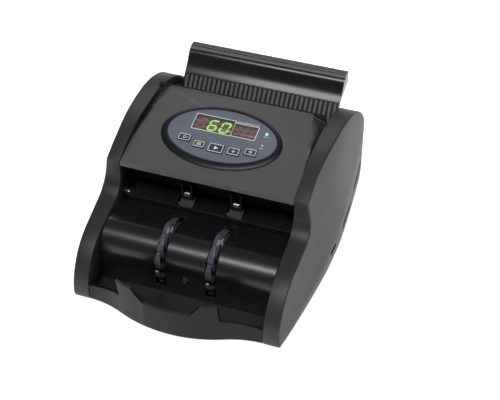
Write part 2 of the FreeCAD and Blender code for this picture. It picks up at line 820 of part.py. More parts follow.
def upper_guide_outline():
    start, end, thick, gap = 110, 188, size("guide_thick"), size("path_gap")
    return [
        (start, path_level(start) + gap), (end, path_level(end) + gap), (end, path_level(end) + gap + thick),
        (start + 2, path_level(start) + gap + thick), (start + 2, 97), (start, 97),
    ]


def roller_windows_for(tag, back, radius, level):
    """Two windows in the lower guide, one over each roller."""
    windows = []
    for side in (-1, 1):
        name = tag + ("Left" if side < 0 else "Right")
        place = ("%d * Dims.wheel_half - 9" % side, "%s - %s - 1" % (back, radius), level)
        windows.append(bound_box(name, place, ("18", "2 * %s + 2" % radius, "40")))
    return windows


guide_body = side_body("LowerGuideBody", lower_guide_outline(), "2 * Dims.guide_half")
windows = roller_windows_for("ExitWindow", "Dims.exit_back", "Dims.exit_radius", "46")
windows += roller_windows_for("TransportWindow", "Dims.transport_back", "Dims.transport_radius", "46")
windows += roller_windows_for("FeedWindow", "Dims.feed_back", "Dims.feed_radius", "46")
node(cut("LowerGuide", guide_body, *windows), "lower_guide")
guide_top = side_body("UpperGuideBody", upper_guide_outline(), "2 * Dims.guide_half")


def pinch_arm_shape():
    """Two forked fingers that hang over the exit rollers and carry the pinch rollers' pins."""
    arms = []
    back, level = size("exit_back"), size("pinch_level")
    for side in (-1, 1):
        x = side * size("wheel_half")
        web = block(x - 5.5, x + 5.5, back + 3, 111, 72, 97)
        ears = [block(x + step * 4.5 - 1, x + step * 4.5 + 1, back - 4, back + 4, 62, 80) for step in (-1, 1)]
        pin = rod(1, x - 5, x + 5, back, level)
        arms.append(web.multiFuse(ears + [pin]))
    return Part.makeCompound(arms)


node(fuse("UpperGuide", guide_top, feature(pinch_arm_shape(), "PinchArms")), "upper_guide")


def shaft_node(tag, back, level):
    shaft = bound_rod(tag.title() + "Shaft", "Dims.shaft_radius", "Dims.shaft_length + 6",
                      "-Dims.shaft_length / 2 - 6", back, level)
    return node(shaft, tag + "_shaft")


def ring(name, outer, inner, length, start, back, level):
    """A ring about the X axis from two bound cylinders."""
    outside = bound_rod(name + "Outer", outer, length, start, back, level)
    inside = bound_rod(name + "Inner", inner, length + " + 2", start + " - 1", back, level)
    return cut(name, outside, inside)


def roller_node(tag, radius, back, level, label):
    """Two rubber rollers on a shaft, in line with the stacker wheels."""
    rings = []
    for side in (-1, 1):
        name = tag.title() + "Roller" + ("Left" if side < 0 else "Right")
        start = "%d * Dims.wheel_half - 7" % side
        rings.append(ring(name, radius, "Dims.shaft_radius", "14", start, back, level))
    pair = doc.addObject("Part::Compound", tag.title() + "Rollers")
    pair.Links = rings
    return node(pair, label)


bush_rings = []
for tag, back, level in SHAFTS:
    shaft_node(tag, back, level)
    for side in (-1, 1):
        name = "Bush" + tag + ("Left" if side < 0 else "Right")
        start = "%d * (Dims.frame_face + Dims.frame_thick / 2) - 1.5" % side
        hole = "Dims.shaft_radius + Dims.run_clearance"
        bush_rings.append(ring(name, "Dims.bush_radius", hole, "3", start, back, level))
bushes = doc.addObject("Part::Compound", "Bushes")
bushes.Links = bush_rings
node(bushes, "shaft_bushes")

roller_node("exit", "Dims.exit_radius", "Dims.exit_back", "Dims.exit_level", "exit_rollers")
roller_node("transport", "Dims.transport_radius", "Dims.transport_back", "Dims.transport_level",
            "transport_rollers")
roller_node("feed", "Dims.feed_radius", "Dims.feed_back", "Dims.feed_level", "feed_rollers")
roller_node("pickup", "Dims.pickup_radius", "Dims.pickup_back", "Dims.pickup_level", "pickup_rollers")


# ---------------------------------------------------------------- stacker wheels

def blade_face(root_turn):
    """One swept blade about the stacker axis, its tip trailing the root."""
    tip = size("blade_radius")

    def at(radius, degrees):
        turn = math.radians(root_turn + degrees)
        return (axis_back + radius * math.cos(turn), axis_level + radius * math.sin(turn))

    return outline_face([
        at(8, 0),
        at(22.5, -32) + at(tip, -82),
        at(tip - 1.4, -84),
        at(20.8, -35) + at(8, -13),
    ])


def wheel_shape(side):
    middle = side * size("wheel_half")
    half = size("blade_width") / 2
    hub = rod(9.5, middle - half - 2, middle + half + 2, axis_back, axis_level)
    blades = [across(blade_face(36 * index + 12), middle - half, middle + half) for index in range(10)]
    wheel = hub.multiFuse(blades)
    return wheel.cut(rod(size("shaft_radius"), middle - 20, middle + 20, axis_back, axis_level)).removeSplitter()


node(feature(wheel_shape(-1), "LeftWheel"), "left_stacker_wheel")
node(feature(wheel_shape(1), "RightWheel"), "right_stacker_wheel")


# ---------------------------------------------------------------- pulleys and belts

MOTOR = ("Dims.motor_back", "Dims.motor_level")
NEAR, FAR_LANE = size("lane_near"), size("lane_far")
PULLEYS = [
    ("motor", 6, NEAR, FAR_LANE, "2"),
    ("feed", 12, NEAR, NEAR, "Dims.shaft_radius"),
    ("pickup", 6.5, NEAR, NEAR, "Dims.shaft_radius"),
    ("transport", 8, FAR_LANE, FAR_LANE, "Dims.shaft_radius"),
    ("exit", 8, NEAR, FAR_LANE, "Dims.shaft_radius"),
    ("stacker", 12, NEAR, NEAR, "Dims.shaft_radius"),
]
AXES = {tag: (back, level) for tag, back, level in SHAFTS}
AXES["motor"] = MOTOR
PULLEY_RADIUS = {tag: radius for tag, radius, near, far, bore in PULLEYS}
for tag, radius, near, far, bore in PULLEYS:
    start, length = far - 2.4, near - far + 4.8
    back, level = AXES[tag]
    node(ring(tag.title() + "Pulley", str(radius), bore, str(length), str(start), back, level), tag + "_pulley")


def centre(tag):
    back, level = AXES[tag]
    return size(back.replace("Dims.", "")), size(level.replace("Dims.", ""))


def strap(tags, extra, x_low, x_high):
    """The solid inside a belt that runs round the pulleys of tags, extra millimetres outside them."""
    pieces = []
    for first, second in zip(tags, tags[1:]):
        (y_1, z_1), (y_2, z_2) = centre(first), centre(second)
        r_1, r_2 = PULLEY_RADIUS[first] + extra, PULLEY_RADIUS[second] + extra
        span = math.hypot(y_2 - y_1, z_2 - z_1)
        heading = math.atan2(z_2 - z_1, y_2 - y_1)
        lean = math.acos((r_1 - r_2) / span)
        corners = []
        for turn, (y, z), radius in ((lean, (y_1, z_1), r_1), (lean, (y_2, z_2), r_2),
                                     (-lean, (y_2, z_2), r_2), (-lean, (y_1, z_1), r_1)):
            corners.append((y + radius * math.cos(heading + turn), z + radius * math.sin(heading + turn)))
        pieces.append(across(outline_face(corners), x_low, x_high))
        pieces.append(rod(r_1, x_low, x_high, y_1, z_1))
        pieces.append(rod(r_2, x_low, x_high, y_2, z_2))
    if len(tags) > 3:
        pieces.append(across(outline_face([centre(tag) for tag in tags[:-1]]), x_low, x_high))
    return pieces[0].multiFuse(pieces[1:]).removeSplitter()


def belt_shape(tags, lane):
    half = size("belt_width") / 2
    gap = size("belt_gap")
    outside = strap(tags, gap + size("belt_thick"), lane - half, lane + half)
    inside = strap(tags, gap, lane - half - 1, lane + half + 1)
    return outside.cut(inside)


node(feature(belt_shape(["motor", "feed", "pickup"], NEAR), "FeedBelt"), "feed_belt")
node(feature(belt_shape(["motor", "transport", "exit", "motor"], FAR_LANE), "MainBelt"), "main_belt")
node(feature(belt_shape(["exit", "stacker"], NEAR), "StackerBelt"), "stacker_belt")


# ---------------------------------------------------------------- motor, separation roller, sensors

def motor_shape():
    face = -size("frame_face")
    back, level = size("motor_back"), size("motor_level")
    can = rod(size("motor_radius"), face, face + size("motor_length"), back, level)
    nose = rod(7.5, face - 2, face, back, level)
    cap = rod(6, face + size("motor_length"), face + size("motor_length") + 4, back, level)
    shaft_room = rod(2.05, face - 3, face + 20, back, level)
    return can.multiFuse([nose, cap]).cut(shaft_room)


node(feature(motor_shape(), "Motor"), "drive_motor")
node(bound_rod("MotorShaft", "2", "27", "-Dims.frame_face - 12.5", *MOTOR), "motor_shaft")


SEPARATOR = (201.5, 81.6)
KNOB_BACK = 198.6


def separation_shape():
    """The fixed bracket over the feed rollers."""
    bridge = block(-16, 16, 189.5, 205, 92, 95)
    cheeks = [block(x - 1.5, x + 1.5, 193, 207, 78, 92.5) for x in (-14, 14)]
    ledge = block(-60, 60, 189.5, 192.5, 92, 103)
    pin = rod(2, -14, 14, *SEPARATOR)
    screw_room = Part.makeCylinder(2.6, 10, Vector(0, FRONT + KNOB_BACK, 88))
    return bridge.multiFuse(cheeks + [ledge, pin]).cut(screw_room)


node(feature(separation_shape(), "SeparationBracket"), "separation_bracket")
separator = rod(9.8, -11, 11, *SEPARATOR).cut(rod(2, -12, 12, *SEPARATOR))
node(feature(separator, "SeparationRoller"), "separation_roller")


def gap_knob_shape():
    """Thumb screw with a fluted head that sets the separation gap."""
    head = Part.makeCylinder(5, 6, Vector(0, FRONT + KNOB_BACK, 95.4))
    for index in range(12):
        turn = math.radians(30 * index)
        spot = Vector(5.2 * math.cos(turn), FRONT + KNOB_BACK + 5.2 * math.sin(turn), 95)
        head = head.cut(Part.makeCylinder(0.6, 8, spot))
    stem = Part.makeCylinder(2.5, 3.2, Vector(0, FRONT + KNOB_BACK, 92.4))
    return head.fuse(stem)


node(feature(gap_knob_shape(), "GapKnob"), "gap_knob")


def pinch_roller_shape():
    rollers = []
    back, level = size("exit_back"), size("pinch_level")
    for side in (-1, 1):
        x = side * size("wheel_half")
        ring_shape = rod(4.4, x - 3, x + 3, back, level).cut(rod(1.04, x - 4, x + 4, back, level))
        rollers.append(ring_shape)
    return Part.makeCompound(rollers)


node(feature(pinch_roller_shape(), "PinchRollers"), "pinch_rollers")


def sensor_shape():
    """Two light sensors on the upper guide, one each side of the rollers."""
    sensors = []
    for x in (-52, 52):
        base = block(x - 6, x + 6, 122, 132, path_level(132) + size("path_gap") + 2.2, 84)
        eye = Part.makeCylinder(2.5, 4, Vector(x, FRONT + 127, 84))
        sensors.append(base.fuse(eye))
    return Part.makeCompound(sensors)


node(feature(sensor_shape(), "Sensors"), "note_sensors")
lamp = rod(3.5, -46, 46, 170, 88)
lamp = lamp.multiFuse([rod(4.2, -50, -46, 170, 88), rod(4.2, 46, 50, 170, 88)])
node(feature(lamp, "UvLamp"), "uv_lamp")


# ---------------------------------------------------------------- electronics, feet and screws

def board_with_parts(x_low, x_high, back_low, back_high, level, parts):
    """A circuit board with its larger components standing on it."""
    plate = block(x_low, x_high, back_low, back_high, level, level + size("board_thick"))
    top = level + size("board_thick")
    blocks = [block(x, x + wide, y, y + deep, top, top + high) for x, y, wide, deep, high in parts]
    return plate.multiFuse(blocks)


BOARD_PARTS = [(-30, 185, 14, 14, 3), (-8, 190, 10, 16, 9), (8, 186, 8, 8, 10), (-26, 208, 30, 6, 7)]
node(feature(board_with_parts(-34, 24, 180, 222, 9, BOARD_PARTS), "MainBoard"), "main_board")


def transformer_shape():
    core = block(34, 74, 184, 218, 7, 33)
    winding = block(40, 68, 179, 223, 11, 29)
    return core.fuse(winding)


node(feature(transformer_shape(), "Transformer"), "transformer")


def feet_shape():
    feet = []
    for x in (-84, 84):
        for back in (18, 262):
            feet.append(Part.makeCylinder(7, size("foot_lift"), Vector(x, FRONT + back, 0)))
    return Part.makeCompound(feet)


node(feature(feet_shape(), "Feet"), "rubber_feet")


def case_screw_shape():
    """Identical screws: eight up through the base and one in the stacker cover's recess."""
    one = pan_head_screw(3, 1.5, 8)
    screws = [placed(one, 0, 31.6, 27, Rotation(Vector(1, 0, 0), 90))]
    for x, back in SCREW_SPOTS:
        screws.append(placed(one, x, back, 2, Rotation(Vector(1, 0, 0), 180)))
    return Part.makeCompound(screws)


node(feature(case_screw_shape(), "CaseScrews"), "case_screws")


# ---------------------------------------------------------------- check and export

doc.recompute()
for item in doc.Objects:
    if "Invalid" in item.State or "Error" in item.State:
        raise RuntimeError("failed object: " + item.Name)
whole = FreeCAD.BoundBox()
for item in NODES:
    shape = item.Shape
    if shape.isNull() or not shape.isValid() or not shape.Solids:
        raise RuntimeError("bad shape: " + item.Label)
    whole.add(shape.BoundBox)
for item in NODES:
    item.Shape.exportStep("parts/" + item.Label + ".step")
print(len(NODES), "nodes; X", whole.XMin, whole.XMax, "Y", whole.YMin, whole.YMax, "Z", whole.ZMin, whole.ZMax)
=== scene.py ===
import json
import math
import bpy
import bmesh
from mathutils import Matrix, Vector
from mathutils.geometry import delaunay_2d_cdt


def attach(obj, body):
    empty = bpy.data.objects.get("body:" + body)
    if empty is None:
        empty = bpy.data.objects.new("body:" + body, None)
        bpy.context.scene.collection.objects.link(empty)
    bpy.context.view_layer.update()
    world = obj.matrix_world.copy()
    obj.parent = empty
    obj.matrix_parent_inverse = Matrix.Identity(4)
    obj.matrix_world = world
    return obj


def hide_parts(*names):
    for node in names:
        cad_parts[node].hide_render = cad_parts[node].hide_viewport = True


# A desktop banknote counter.  Lengths are millimetres until at() or on_panel() turns them into metres,
# apart from the stage, which is in metres.  "back" is counted along Y from the front edge of the side
# covers, and "level" is height.

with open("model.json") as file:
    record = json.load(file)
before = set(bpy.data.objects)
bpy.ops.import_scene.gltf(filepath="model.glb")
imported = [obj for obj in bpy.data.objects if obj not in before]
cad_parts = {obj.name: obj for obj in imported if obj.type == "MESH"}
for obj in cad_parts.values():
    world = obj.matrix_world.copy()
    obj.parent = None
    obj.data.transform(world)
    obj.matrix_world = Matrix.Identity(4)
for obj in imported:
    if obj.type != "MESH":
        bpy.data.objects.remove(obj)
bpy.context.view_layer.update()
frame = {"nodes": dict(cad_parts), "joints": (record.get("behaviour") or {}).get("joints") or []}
joints = {joint["name"]: joint for joint in frame["joints"]}

MM = 0.001
STACKER_BACK, STACKER_LEVEL = 53, 37
FRONT = joints["stacker_turn"]["pos_m"][1] - STACKER_BACK * MM


def at(x, back, level):
    return Vector((x * MM, FRONT + back * MM, level * MM))


# ---------------------------------------------------------------- camera, floor and light

LENS, SENSOR_WIDTH = 79.55, 36.0
CAMERA_TURN, CAMERA_HEIGHT, CAMERA_LEAN = math.radians(19.576), math.radians(41.242), math.radians(-0.259)
CAMERA_REACH = 1154.77
LOOK_AT = at(9.137, 184.664, 0)

# The stage, in metres.
VIEW_DEPTH = 20
FLOOR_HALF, PAPER_ROUGH, PAPER_GLOW = 6.0, 0.6, 0.55
PAPER_COLOUR, GLOW_COLOUR = (0.93, 0.925, 0.93, 1), (1, 0.995, 1, 1)
ROOM_COLOUR, ROOM_STRENGTH = (0.93, 0.965, 1.0, 1), 0.12
# Soft boxes: name, place, aim, width, depth, watts.
SOFT_BOXES = [
    ("soft_box_front", (0.45, -1.31, 2.6), (0, 0, 0.05), 3.0, 0.62, 90),
    ("soft_box_behind", (-0.35, 1.2, 1.12), (0, 0.1, 0.1), 1.3, 0.6, 7),
]


def make_camera():
    """A camera that looks down at LOOK_AT from CAMERA_REACH away, a little to the right of the front."""
    sine, cosine = math.sin(CAMERA_TURN), math.cos(CAMERA_TURN)
    flat = math.cos(CAMERA_HEIGHT)
    forward = Vector((-sine * flat, cosine * flat, -math.sin(CAMERA_HEIGHT)))
    right = Vector((cosine, sine, 0))
    up = right.cross(forward)
    leaned_right = right * math.cos(CAMERA_LEAN) + up * math.sin(CAMERA_LEAN)
    leaned_up = up * math.cos(CAMERA_LEAN) - right * math.sin(CAMERA_LEAN)
    data = bpy.data.cameras.new("camera")
    data.lens = LENS
    data.sensor_width = SENSOR_WIDTH
    data.clip_end = VIEW_DEPTH
    camera = bpy.data.objects.new("camera", data)
    turn = Matrix((leaned_right, leaned_up, -forward)).transposed()
    camera.matrix_world = Matrix.Translation(LOOK_AT - forward * CAMERA_REACH * MM) @ turn.to_4x4()
    bpy.context.scene.collection.objects.link(camera)
    bpy.context.scene.camera = camera


def soft_box(name, place, aim, width, depth, power):
    data = bpy.data.lights.new(name, "AREA")
    data.shape = "RECTANGLE"
    data.size, data.size_y = width, depth
    data.energy = power
    light = bpy.data.objects.new(name, data)
    light.location = place
    light.rotation_euler = (Vector(aim) - Vector(place)).to_track_quat("-Z", "Y").to_euler()
    bpy.context.scene.collection.objects.link(light)


def make_stage():
    """A white paper floor, a dim room and the two soft boxes."""
    mesh = bpy.data.meshes.new("floor")
    corners = [(-FLOOR_HALF, -FLOOR_HALF, 0), (FLOOR_HALF, -FLOOR_HALF, 0),
               (FLOOR_HALF, FLOOR_HALF, 0), (-FLOOR_HALF, FLOOR_HALF, 0)]
    mesh.from_pydata(corners, [], [(0, 1, 2, 3)])
    floor = bpy.data.objects.new("floor", mesh)
    bpy.context.scene.collection.objects.link(floor)
    paper = bpy.data.materials.new("white_paper")
    paper.use_nodes = True
    shader = paper.node_tree.nodes["Principled BSDF"]
    shader.inputs["Base Color"].default_value = PAPER_COLOUR
    shader.inputs["Roughness"].default_value = PAPER_ROUGH
    shader.inputs["Emission Color"].default_value = GLOW_COLOUR
    shader.inputs["Emission Strength"].default_value = PAPER_GLOW
    mesh.materials.append(paper)
    world = bpy.data.worlds.new("studio")
    world.use_nodes = True
    world.node_tree.nodes["Background"].inputs["Color"].default_value = ROOM_COLOUR
    world.node_tree.nodes["Background"].inputs["Strength"].default_value = ROOM_STRENGTH
    bpy.context.scene.world = world
    for row in SOFT_BOXES:
        soft_box(*row)
    bpy.context.scene.view_settings.view_transform = "Standard"


make_camera()
make_stage()


# ---------------------------------------------------------------- shared surface effects

def effect(name, inputs, outputs):
    """A new shader node group with named value inputs and named outputs."""
    group = bpy.data.node_groups.new(name, "ShaderNodeTree")
    for label, value in inputs:
        socket = group.interface.new_socket(name=label, in_out="INPUT", socket_type="NodeSocketFloat")
        socket.default_value = value
    for label, kind in outputs:
        group.interface.new_socket(name=label, in_out="OUTPUT", socket_type=kind)
    return group, group.nodes.new("NodeGroupInput"), group.nodes.new("NodeGroupOutput")


def add_node(tree, kind, **settings):
    made = tree.nodes.new(kind)
    for key, value in settings.items():
        setattr(made, key, value)
    return made


def object_noise(tree, scale_socket, detail=2.0, roughness=0.5):
    """Noise in the object's own metres, so its grain has the same size on every piece."""
    place = add_node(tree, "ShaderNodeTexCoord")
    noise = add_node(tree, "ShaderNodeTexNoise")
    noise.inputs["Detail"].default_value = detail
    noise.inputs["Roughness"].default_value = roughness
    tree.links.new(place.outputs["Object"], noise.inputs["Vector"])
    tree.links.new(scale_socket, noise.inputs["Scale"])
    return noise


def build_grain():
    """Fine spark-eroded mould texture: a height, and a slow drift for tone and polish."""
    group, source, sink = effect("mould_grain", [("Grain Scale", 2600.0), ("Drift Scale", 22.0)],
                                 [("Height", "NodeSocketFloat"), ("Drift", "NodeSocketFloat")])
    grain = object_noise(group, source.outputs["Grain Scale"], 3.0, 0.6)
    drift = object_noise(group, source.outputs["Drift Scale"], 4.0, 0.55)
    group.links.new(grain.outputs["Fac"], sink.inputs["Height"])
    group.links.new(drift.outputs["Fac"], sink.inputs["Drift"])
    return group


FLAT_POINTINESS = 0.5


def build_rub_and_edge_highlight():
    """Lighter edges, partly rubbed wear and partly a painted highlight, broken up by noise; the mask is
    strongest on convex edges.
    """
    group, source, sink = effect("edge_rub_and_painted_highlight", [("Width", 0.06), ("Break Up", 140.0)],
                                 [("Mask", "NodeSocketFloat")])
    shape = add_node(group, "ShaderNodeNewGeometry")
    lift = add_node(group, "ShaderNodeMath", operation="SUBTRACT")
    lift.inputs[1].default_value = FLAT_POINTINESS
    share = add_node(group, "ShaderNodeMath", operation="DIVIDE", use_clamp=True)
    noise = object_noise(group, source.outputs["Break Up"], 3.0)
    mask = add_node(group, "ShaderNodeMath", operation="MULTIPLY", use_clamp=True)
    group.links.new(shape.outputs["Pointiness"], lift.inputs[0])
    group.links.new(lift.outputs[0], share.inputs[0])
    group.links.new(source.outputs["Width"], share.inputs[1])
    group.links.new(share.outputs[0], mask.inputs[0])
    group.links.new(noise.outputs["Fac"], mask.inputs[1])
    group.links.new(mask.outputs[0], sink.inputs["Mask"])
    return group


def build_dust():
    """A thin film of dust on faces that look up, gathered in soft patches."""
    group, source, sink = effect("dust_film", [("Amount", 0.1), ("Patch Scale", 35.0)],
                                 [("Mask", "NodeSocketFloat")])
    shape = add_node(group, "ShaderNodeNewGeometry")
    split = add_node(group, "ShaderNodeSeparateXYZ")
    upward = add_node(group, "ShaderNodeMath", operation="MULTIPLY", use_clamp=True)
    noise = object_noise(group, source.outputs["Patch Scale"], 5.0, 0.65)
    patch = add_node(group, "ShaderNodeMath", operation="MULTIPLY", use_clamp=True)
    group.links.new(shape.outputs["Normal"], split.inputs[0])
    group.links.new(split.outputs["Z"], upward.inputs[0])
    group.links.new(source.outputs["Amount"], upward.inputs[1])
    group.links.new(upward.outputs[0], patch.inputs[0])
    group.links.new(noise.outputs["Fac"], patch.inputs[1])
    group.links.new(patch.outputs[0], sink.inputs["Mask"])
    return group


GRAIN, RUB_AND_HIGHLIGHT, DUST = build_grain(), build_rub_and_edge_highlight(), build_dust()
# Convex edges are painted lighter: partly rubbed wear and partly a painted highlight.
EDGE_LIGHTEN_GAIN, EDGE_LIGHTEN_LIFT = 1.8, 0.05
WIDEST_EDGE_LIGHTEN, NARROWEST_EDGE_LIGHTEN = 0.35, 0.02
DUST_COLOUR = (0.42, 0.42, 0.43, 1)
SMOOTHER, ROUGHER, LEAST_ROUGH = 0.06, 0.08, 0.02
BUMP_STRENGTH = 0.35
# Sockets of a colour Mix node.
MIX_SHARE, MIX_FIRST, MIX_SECOND, MIXED = 0, 6, 7, 2


def finish(name, colour, rough, grain=2600.0, depth=0.02, drift=22.0, spread=0.12, edge_lighten=0.12, dust=0.06,
           metal=0.0, specular=0.5, glow=None, glow_strength=0.0, clear=0.0):
    """A surface finish: base colour varied by drift, lighter edges that are partly rubbed wear and partly a
    painted highlight, dust, mould grain and gloss.

    grain and drift are noise scales per metre, depth is the grain's height in millimetres.
    """
    material = bpy.data.materials.new(name)
    material.use_nodes = True
    tree = material.node_tree
    shader = tree.nodes["Principled BSDF"]
    shader.inputs["Metallic"].default_value = metal
    shader.inputs["Specular IOR Level"].default_value = specular
    shader.inputs["Transmission Weight"].default_value = clear
    if glow:
        shader.inputs["Emission Color"].default_value = (*glow, 1)
        shader.inputs["Emission Strength"].default_value = glow_strength
    surface = add_node(tree, "ShaderNodeGroup", node_tree=GRAIN)
    surface.inputs["Grain Scale"].default_value = grain
    surface.inputs["Drift Scale"].default_value = drift

    tone = add_node(tree, "ShaderNodeMix", data_type="RGBA")
    tone.inputs[MIX_FIRST].default_value = (*[part * (1 - spread) for part in colour], 1)
    tone.inputs[MIX_SECOND].default_value = (*[min(1, part * (1 + spread)) for part in colour], 1)
    tree.links.new(surface.outputs["Drift"], tone.inputs[MIX_SHARE])
    # Lighter convex edges: partly rubbed wear, partly a painted highlight.
    worn_and_highlit = add_node(tree, "ShaderNodeMix", data_type="RGBA")
    worn_and_highlit.inputs[MIX_SECOND].default_value = (*[min(1, part * EDGE_LIGHTEN_GAIN + EDGE_LIGHTEN_LIFT) for part in colour], 1)
    edge = add_node(tree, "ShaderNodeGroup", node_tree=RUB_AND_HIGHLIGHT)
    edge.inputs["Width"].default_value = max(NARROWEST_EDGE_LIGHTEN, WIDEST_EDGE_LIGHTEN - edge_lighten)
    tree.links.new(edge.outputs["Mask"], worn_and_highlit.inputs[MIX_SHARE])
    tree.links.new(tone.outputs[MIXED], worn_and_highlit.inputs[MIX_FIRST])
    dusty = add_node(tree, "ShaderNodeMix", data_type="RGBA")
    dusty.inputs[MIX_SECOND].default_value = DUST_COLOUR
    film = add_node(tree, "ShaderNodeGroup", node_tree=DUST)
    film.inputs["Amount"].default_value = dust
    tree.links.new(film.outputs["Mask"], dusty.inputs[MIX_SHARE])
    tree.links.new(worn_and_highlit.outputs[MIXED], dusty.inputs[MIX_FIRST])
    tree.links.new(dusty.outputs[MIXED], shader.inputs["Base Color"])

    polish = add_node(tree, "ShaderNodeMapRange")
    polish.inputs["To Min"].default_value = max(LEAST_ROUGH, rough - SMOOTHER)
    polish.inputs["To Max"].default_value = min(1, rough + ROUGHER)
    tree.links.new(surface.outputs["Drift"], polish.inputs["Value"])
    tree.links.new(polish.outputs["Result"], shader.inputs["Roughness"])
    bump = add_node(tree, "ShaderNodeBump")
    bump.inputs["Strength"].default_value = BUMP_STRENGTH
    bump.inputs["Distance"].default_value = depth * MM
    tree.links.new(surface.outputs["Height"], bump.inputs["Height"])
    tree.links.new(bump.outputs["Normal"], shader.inputs["Normal"])
    return material


CASE = finish("charcoal_moulding", (0.006, 0.0062, 0.007), 0.36, depth=0.04, dust=0.006)
APRON = finish("apron_moulding", (0.003, 0.0031, 0.0037), 0.32, depth=0.04, dust=0.002, specular=0.16)
CHEEK = finish("cheek_moulding", (0.013, 0.0134, 0.0155), 0.46, depth=0.04, dust=0.01, specular=0.32)
LID = finish("lid_moulding", (0.044, 0.0435, 0.0445), 0.48, depth=0.04, dust=0.015)
GLOSS = finish("polished_black_moulding", (0.0028, 0.0027, 0.0034), 0.28, depth=0.006, drift=12, dust=0.003)
# Much lighter than the chute: paints the reflection that the hopper's top shows.
TOP_BAND = finish("top_band_painted_reflection", (0.062, 0.062, 0.067), 0.5, depth=0.04, dust=0.02)
RIB_FACE = finish("lighter_rib_face", (0.019, 0.019, 0.0205), 0.46, depth=0.03, dust=0.015)
CHUTE = finish("chute_moulding", (0.006, 0.0064, 0.008), 0.17, depth=0.012, dust=0.006, specular=0.3)
BEZEL = finish("glossy_bezel", (0.004, 0.005, 0.009), 0.36, depth=0.006, dust=0.004, specular=0.22)
FILM = finish("grey_blue_film", (0.08, 0.089, 0.118), 0.5, grain=3200, depth=0.02, spread=0.05, dust=0.015)
KEY_FACE = finish("key_face", (0.014, 0.0155, 0.021), 0.5, depth=0.03, spread=0.08, dust=0.01)
WINDOW = finish("red_brown_window", (0.05, 0.024, 0.021), 0.35, depth=0.004, spread=0.1, dust=0.006)
UNLIT = finish("unlit_segment", (0.115, 0.062, 0.051), 0.5, depth=0.01, dust=0.0)
LIT = finish("lit_segment", (0.22, 0.42, 0.07), 0.5, depth=0.01, dust=0.0, glow=(0.33, 1.0, 0.12),
             glow_strength=0.32)
PRINT = finish("white_print", (0.5, 0.51, 0.54), 0.5, depth=0.01, dust=0.01)
GREEN_LAMP = finish("green_lamp", (0.2, 0.75, 0.4), 0.2, depth=0.0, glow=(0.25, 1.0, 0.5), glow_strength=0.8)
DULL_LAMP = finish("dull_lamp", (0.3, 0.31, 0.35), 0.3, depth=0.0)
STEEL = finish("zinc_steel", (0.5, 0.51, 0.52), 0.34, grain=900, depth=0.02, metal=1.0, edge_lighten=0.05)
SCREW = finish("black_screw", (0.3, 0.3, 0.31), 0.28, grain=1500, depth=0.01, metal=1.0)
CHROME = finish("bright_steel", (0.17, 0.17, 0.18), 0.26, grain=900, depth=0.005, metal=1.0, dust=0.0)
BRONZE = finish("sintered_bronze", (0.1, 0.07, 0.038), 0.55, grain=4200, depth=0.02, metal=1.0)
RUBBER = finish("ground_rubber", (0.009, 0.009, 0.01), 0.75, grain=1800, depth=0.05, specular=0.3)
BELT = finish("belt_rubber", (0.017, 0.017, 0.017), 0.6, grain=1500, depth=0.04)
NYLON = finish("dark_nylon", (0.02, 0.02, 0.021), 0.5, dust=0.02)
WHEEL = finish("wheel_moulding", (0.028, 0.025, 0.036), 0.33, depth=0.01, edge_lighten=0.15, dust=0.006)
LAMINATE = finish("green_laminate", (0.012, 0.11, 0.045), 0.35, drift=60, spread=0.25)
CAN = finish("plated_can", (0.42, 0.43, 0.44), 0.3, grain=700, depth=0.01, metal=1.0)
CORE = finish("varnished_core", (0.17, 0.1, 0.045), 0.4, grain=500, depth=0.1, spread=0.3)
# Near-black: the rim behind the lid, plus painted shadow in the gaps behind and beside the lid.
RIM_AND_GAP_SHADOW = finish("black_rim_and_painted_gap_shadow", (0.0015, 0.0015, 0.0018), 0.8, depth=0.02, dust=0.0, specular=0.06)
FACING = finish("bevel_facing", (0.0085, 0.0085, 0.01), 0.42, depth=0.03, dust=0.004, specular=0.3)
GLASS = finish("coated_tube", (0.35, 0.37, 0.5), 0.15, depth=0.0, clear=0.3)
# Darker than the case: the inner parts' own black plus painted shade of the note path's mouth.
INNER_BLACK_AND_SHADE = finish("inner_black_and_painted_shade", (0.0025, 0.0025, 0.003), 0.45, dust=0.003, specular=0.22)


# ---------------------------------------------------------------- shaping tools

WELD_REACH, JOIN_REACH = 0.004, 0.001
MITRE_LIMIT = 0.4
GRID_MARGIN = 0.55


def new_piece(name, bm, material, body="root", replaced=()):
    """Turn a bmesh into a piece that rides a body."""
    mesh = bpy.data.meshes.new(name)
    bm.to_mesh(mesh)
    bm.free()
    mesh.polygons.foreach_set("use_smooth", [True] * len(mesh.polygons))
    mesh.materials.append(material)
    piece = bpy.data.objects.new(name, mesh)
    bpy.context.scene.collection.objects.link(piece)
    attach(piece, body)
    if replaced:
        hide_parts(*replaced)
    return piece


def keep_sharp(piece, degrees):
    """Shade the edges that turn by more than degrees as corners."""
    piece.data.set_sharp_from_angle(angle=math.radians(degrees))


def turn_up(bm):
    """Turn every face of a flat or nearly flat shape so that it looks up."""
    bmesh.ops.recalc_face_normals(bm, faces=bm.faces)
    for face in bm.faces:
        if face.normal.z < 0:
            face.normal_flip()


def close_up(bm):
    """Join the points that meet, fill the open ends and turn all faces outwards."""
    bmesh.ops.remove_doubles(bm, verts=bm.verts, dist=JOIN_REACH * MM)
    bmesh.ops.holes_fill(bm, edges=bm.edges)
    bmesh.ops.recalc_face_normals(bm, faces=bm.faces)


def soften(piece, radius, segments=2, angle=32):
    """Round a piece's sharp edges by radius millimetres."""
    bevel = piece.modifiers.new("rounded_edges", "BEVEL")
    bevel.limit_method = "ANGLE"
    bevel.angle_limit = math.radians(angle)
    bevel.width = radius * MM
    bevel.segments = segments
    bevel.harden_normals = True
    bevel.miter_outer = "MITER_ARC"


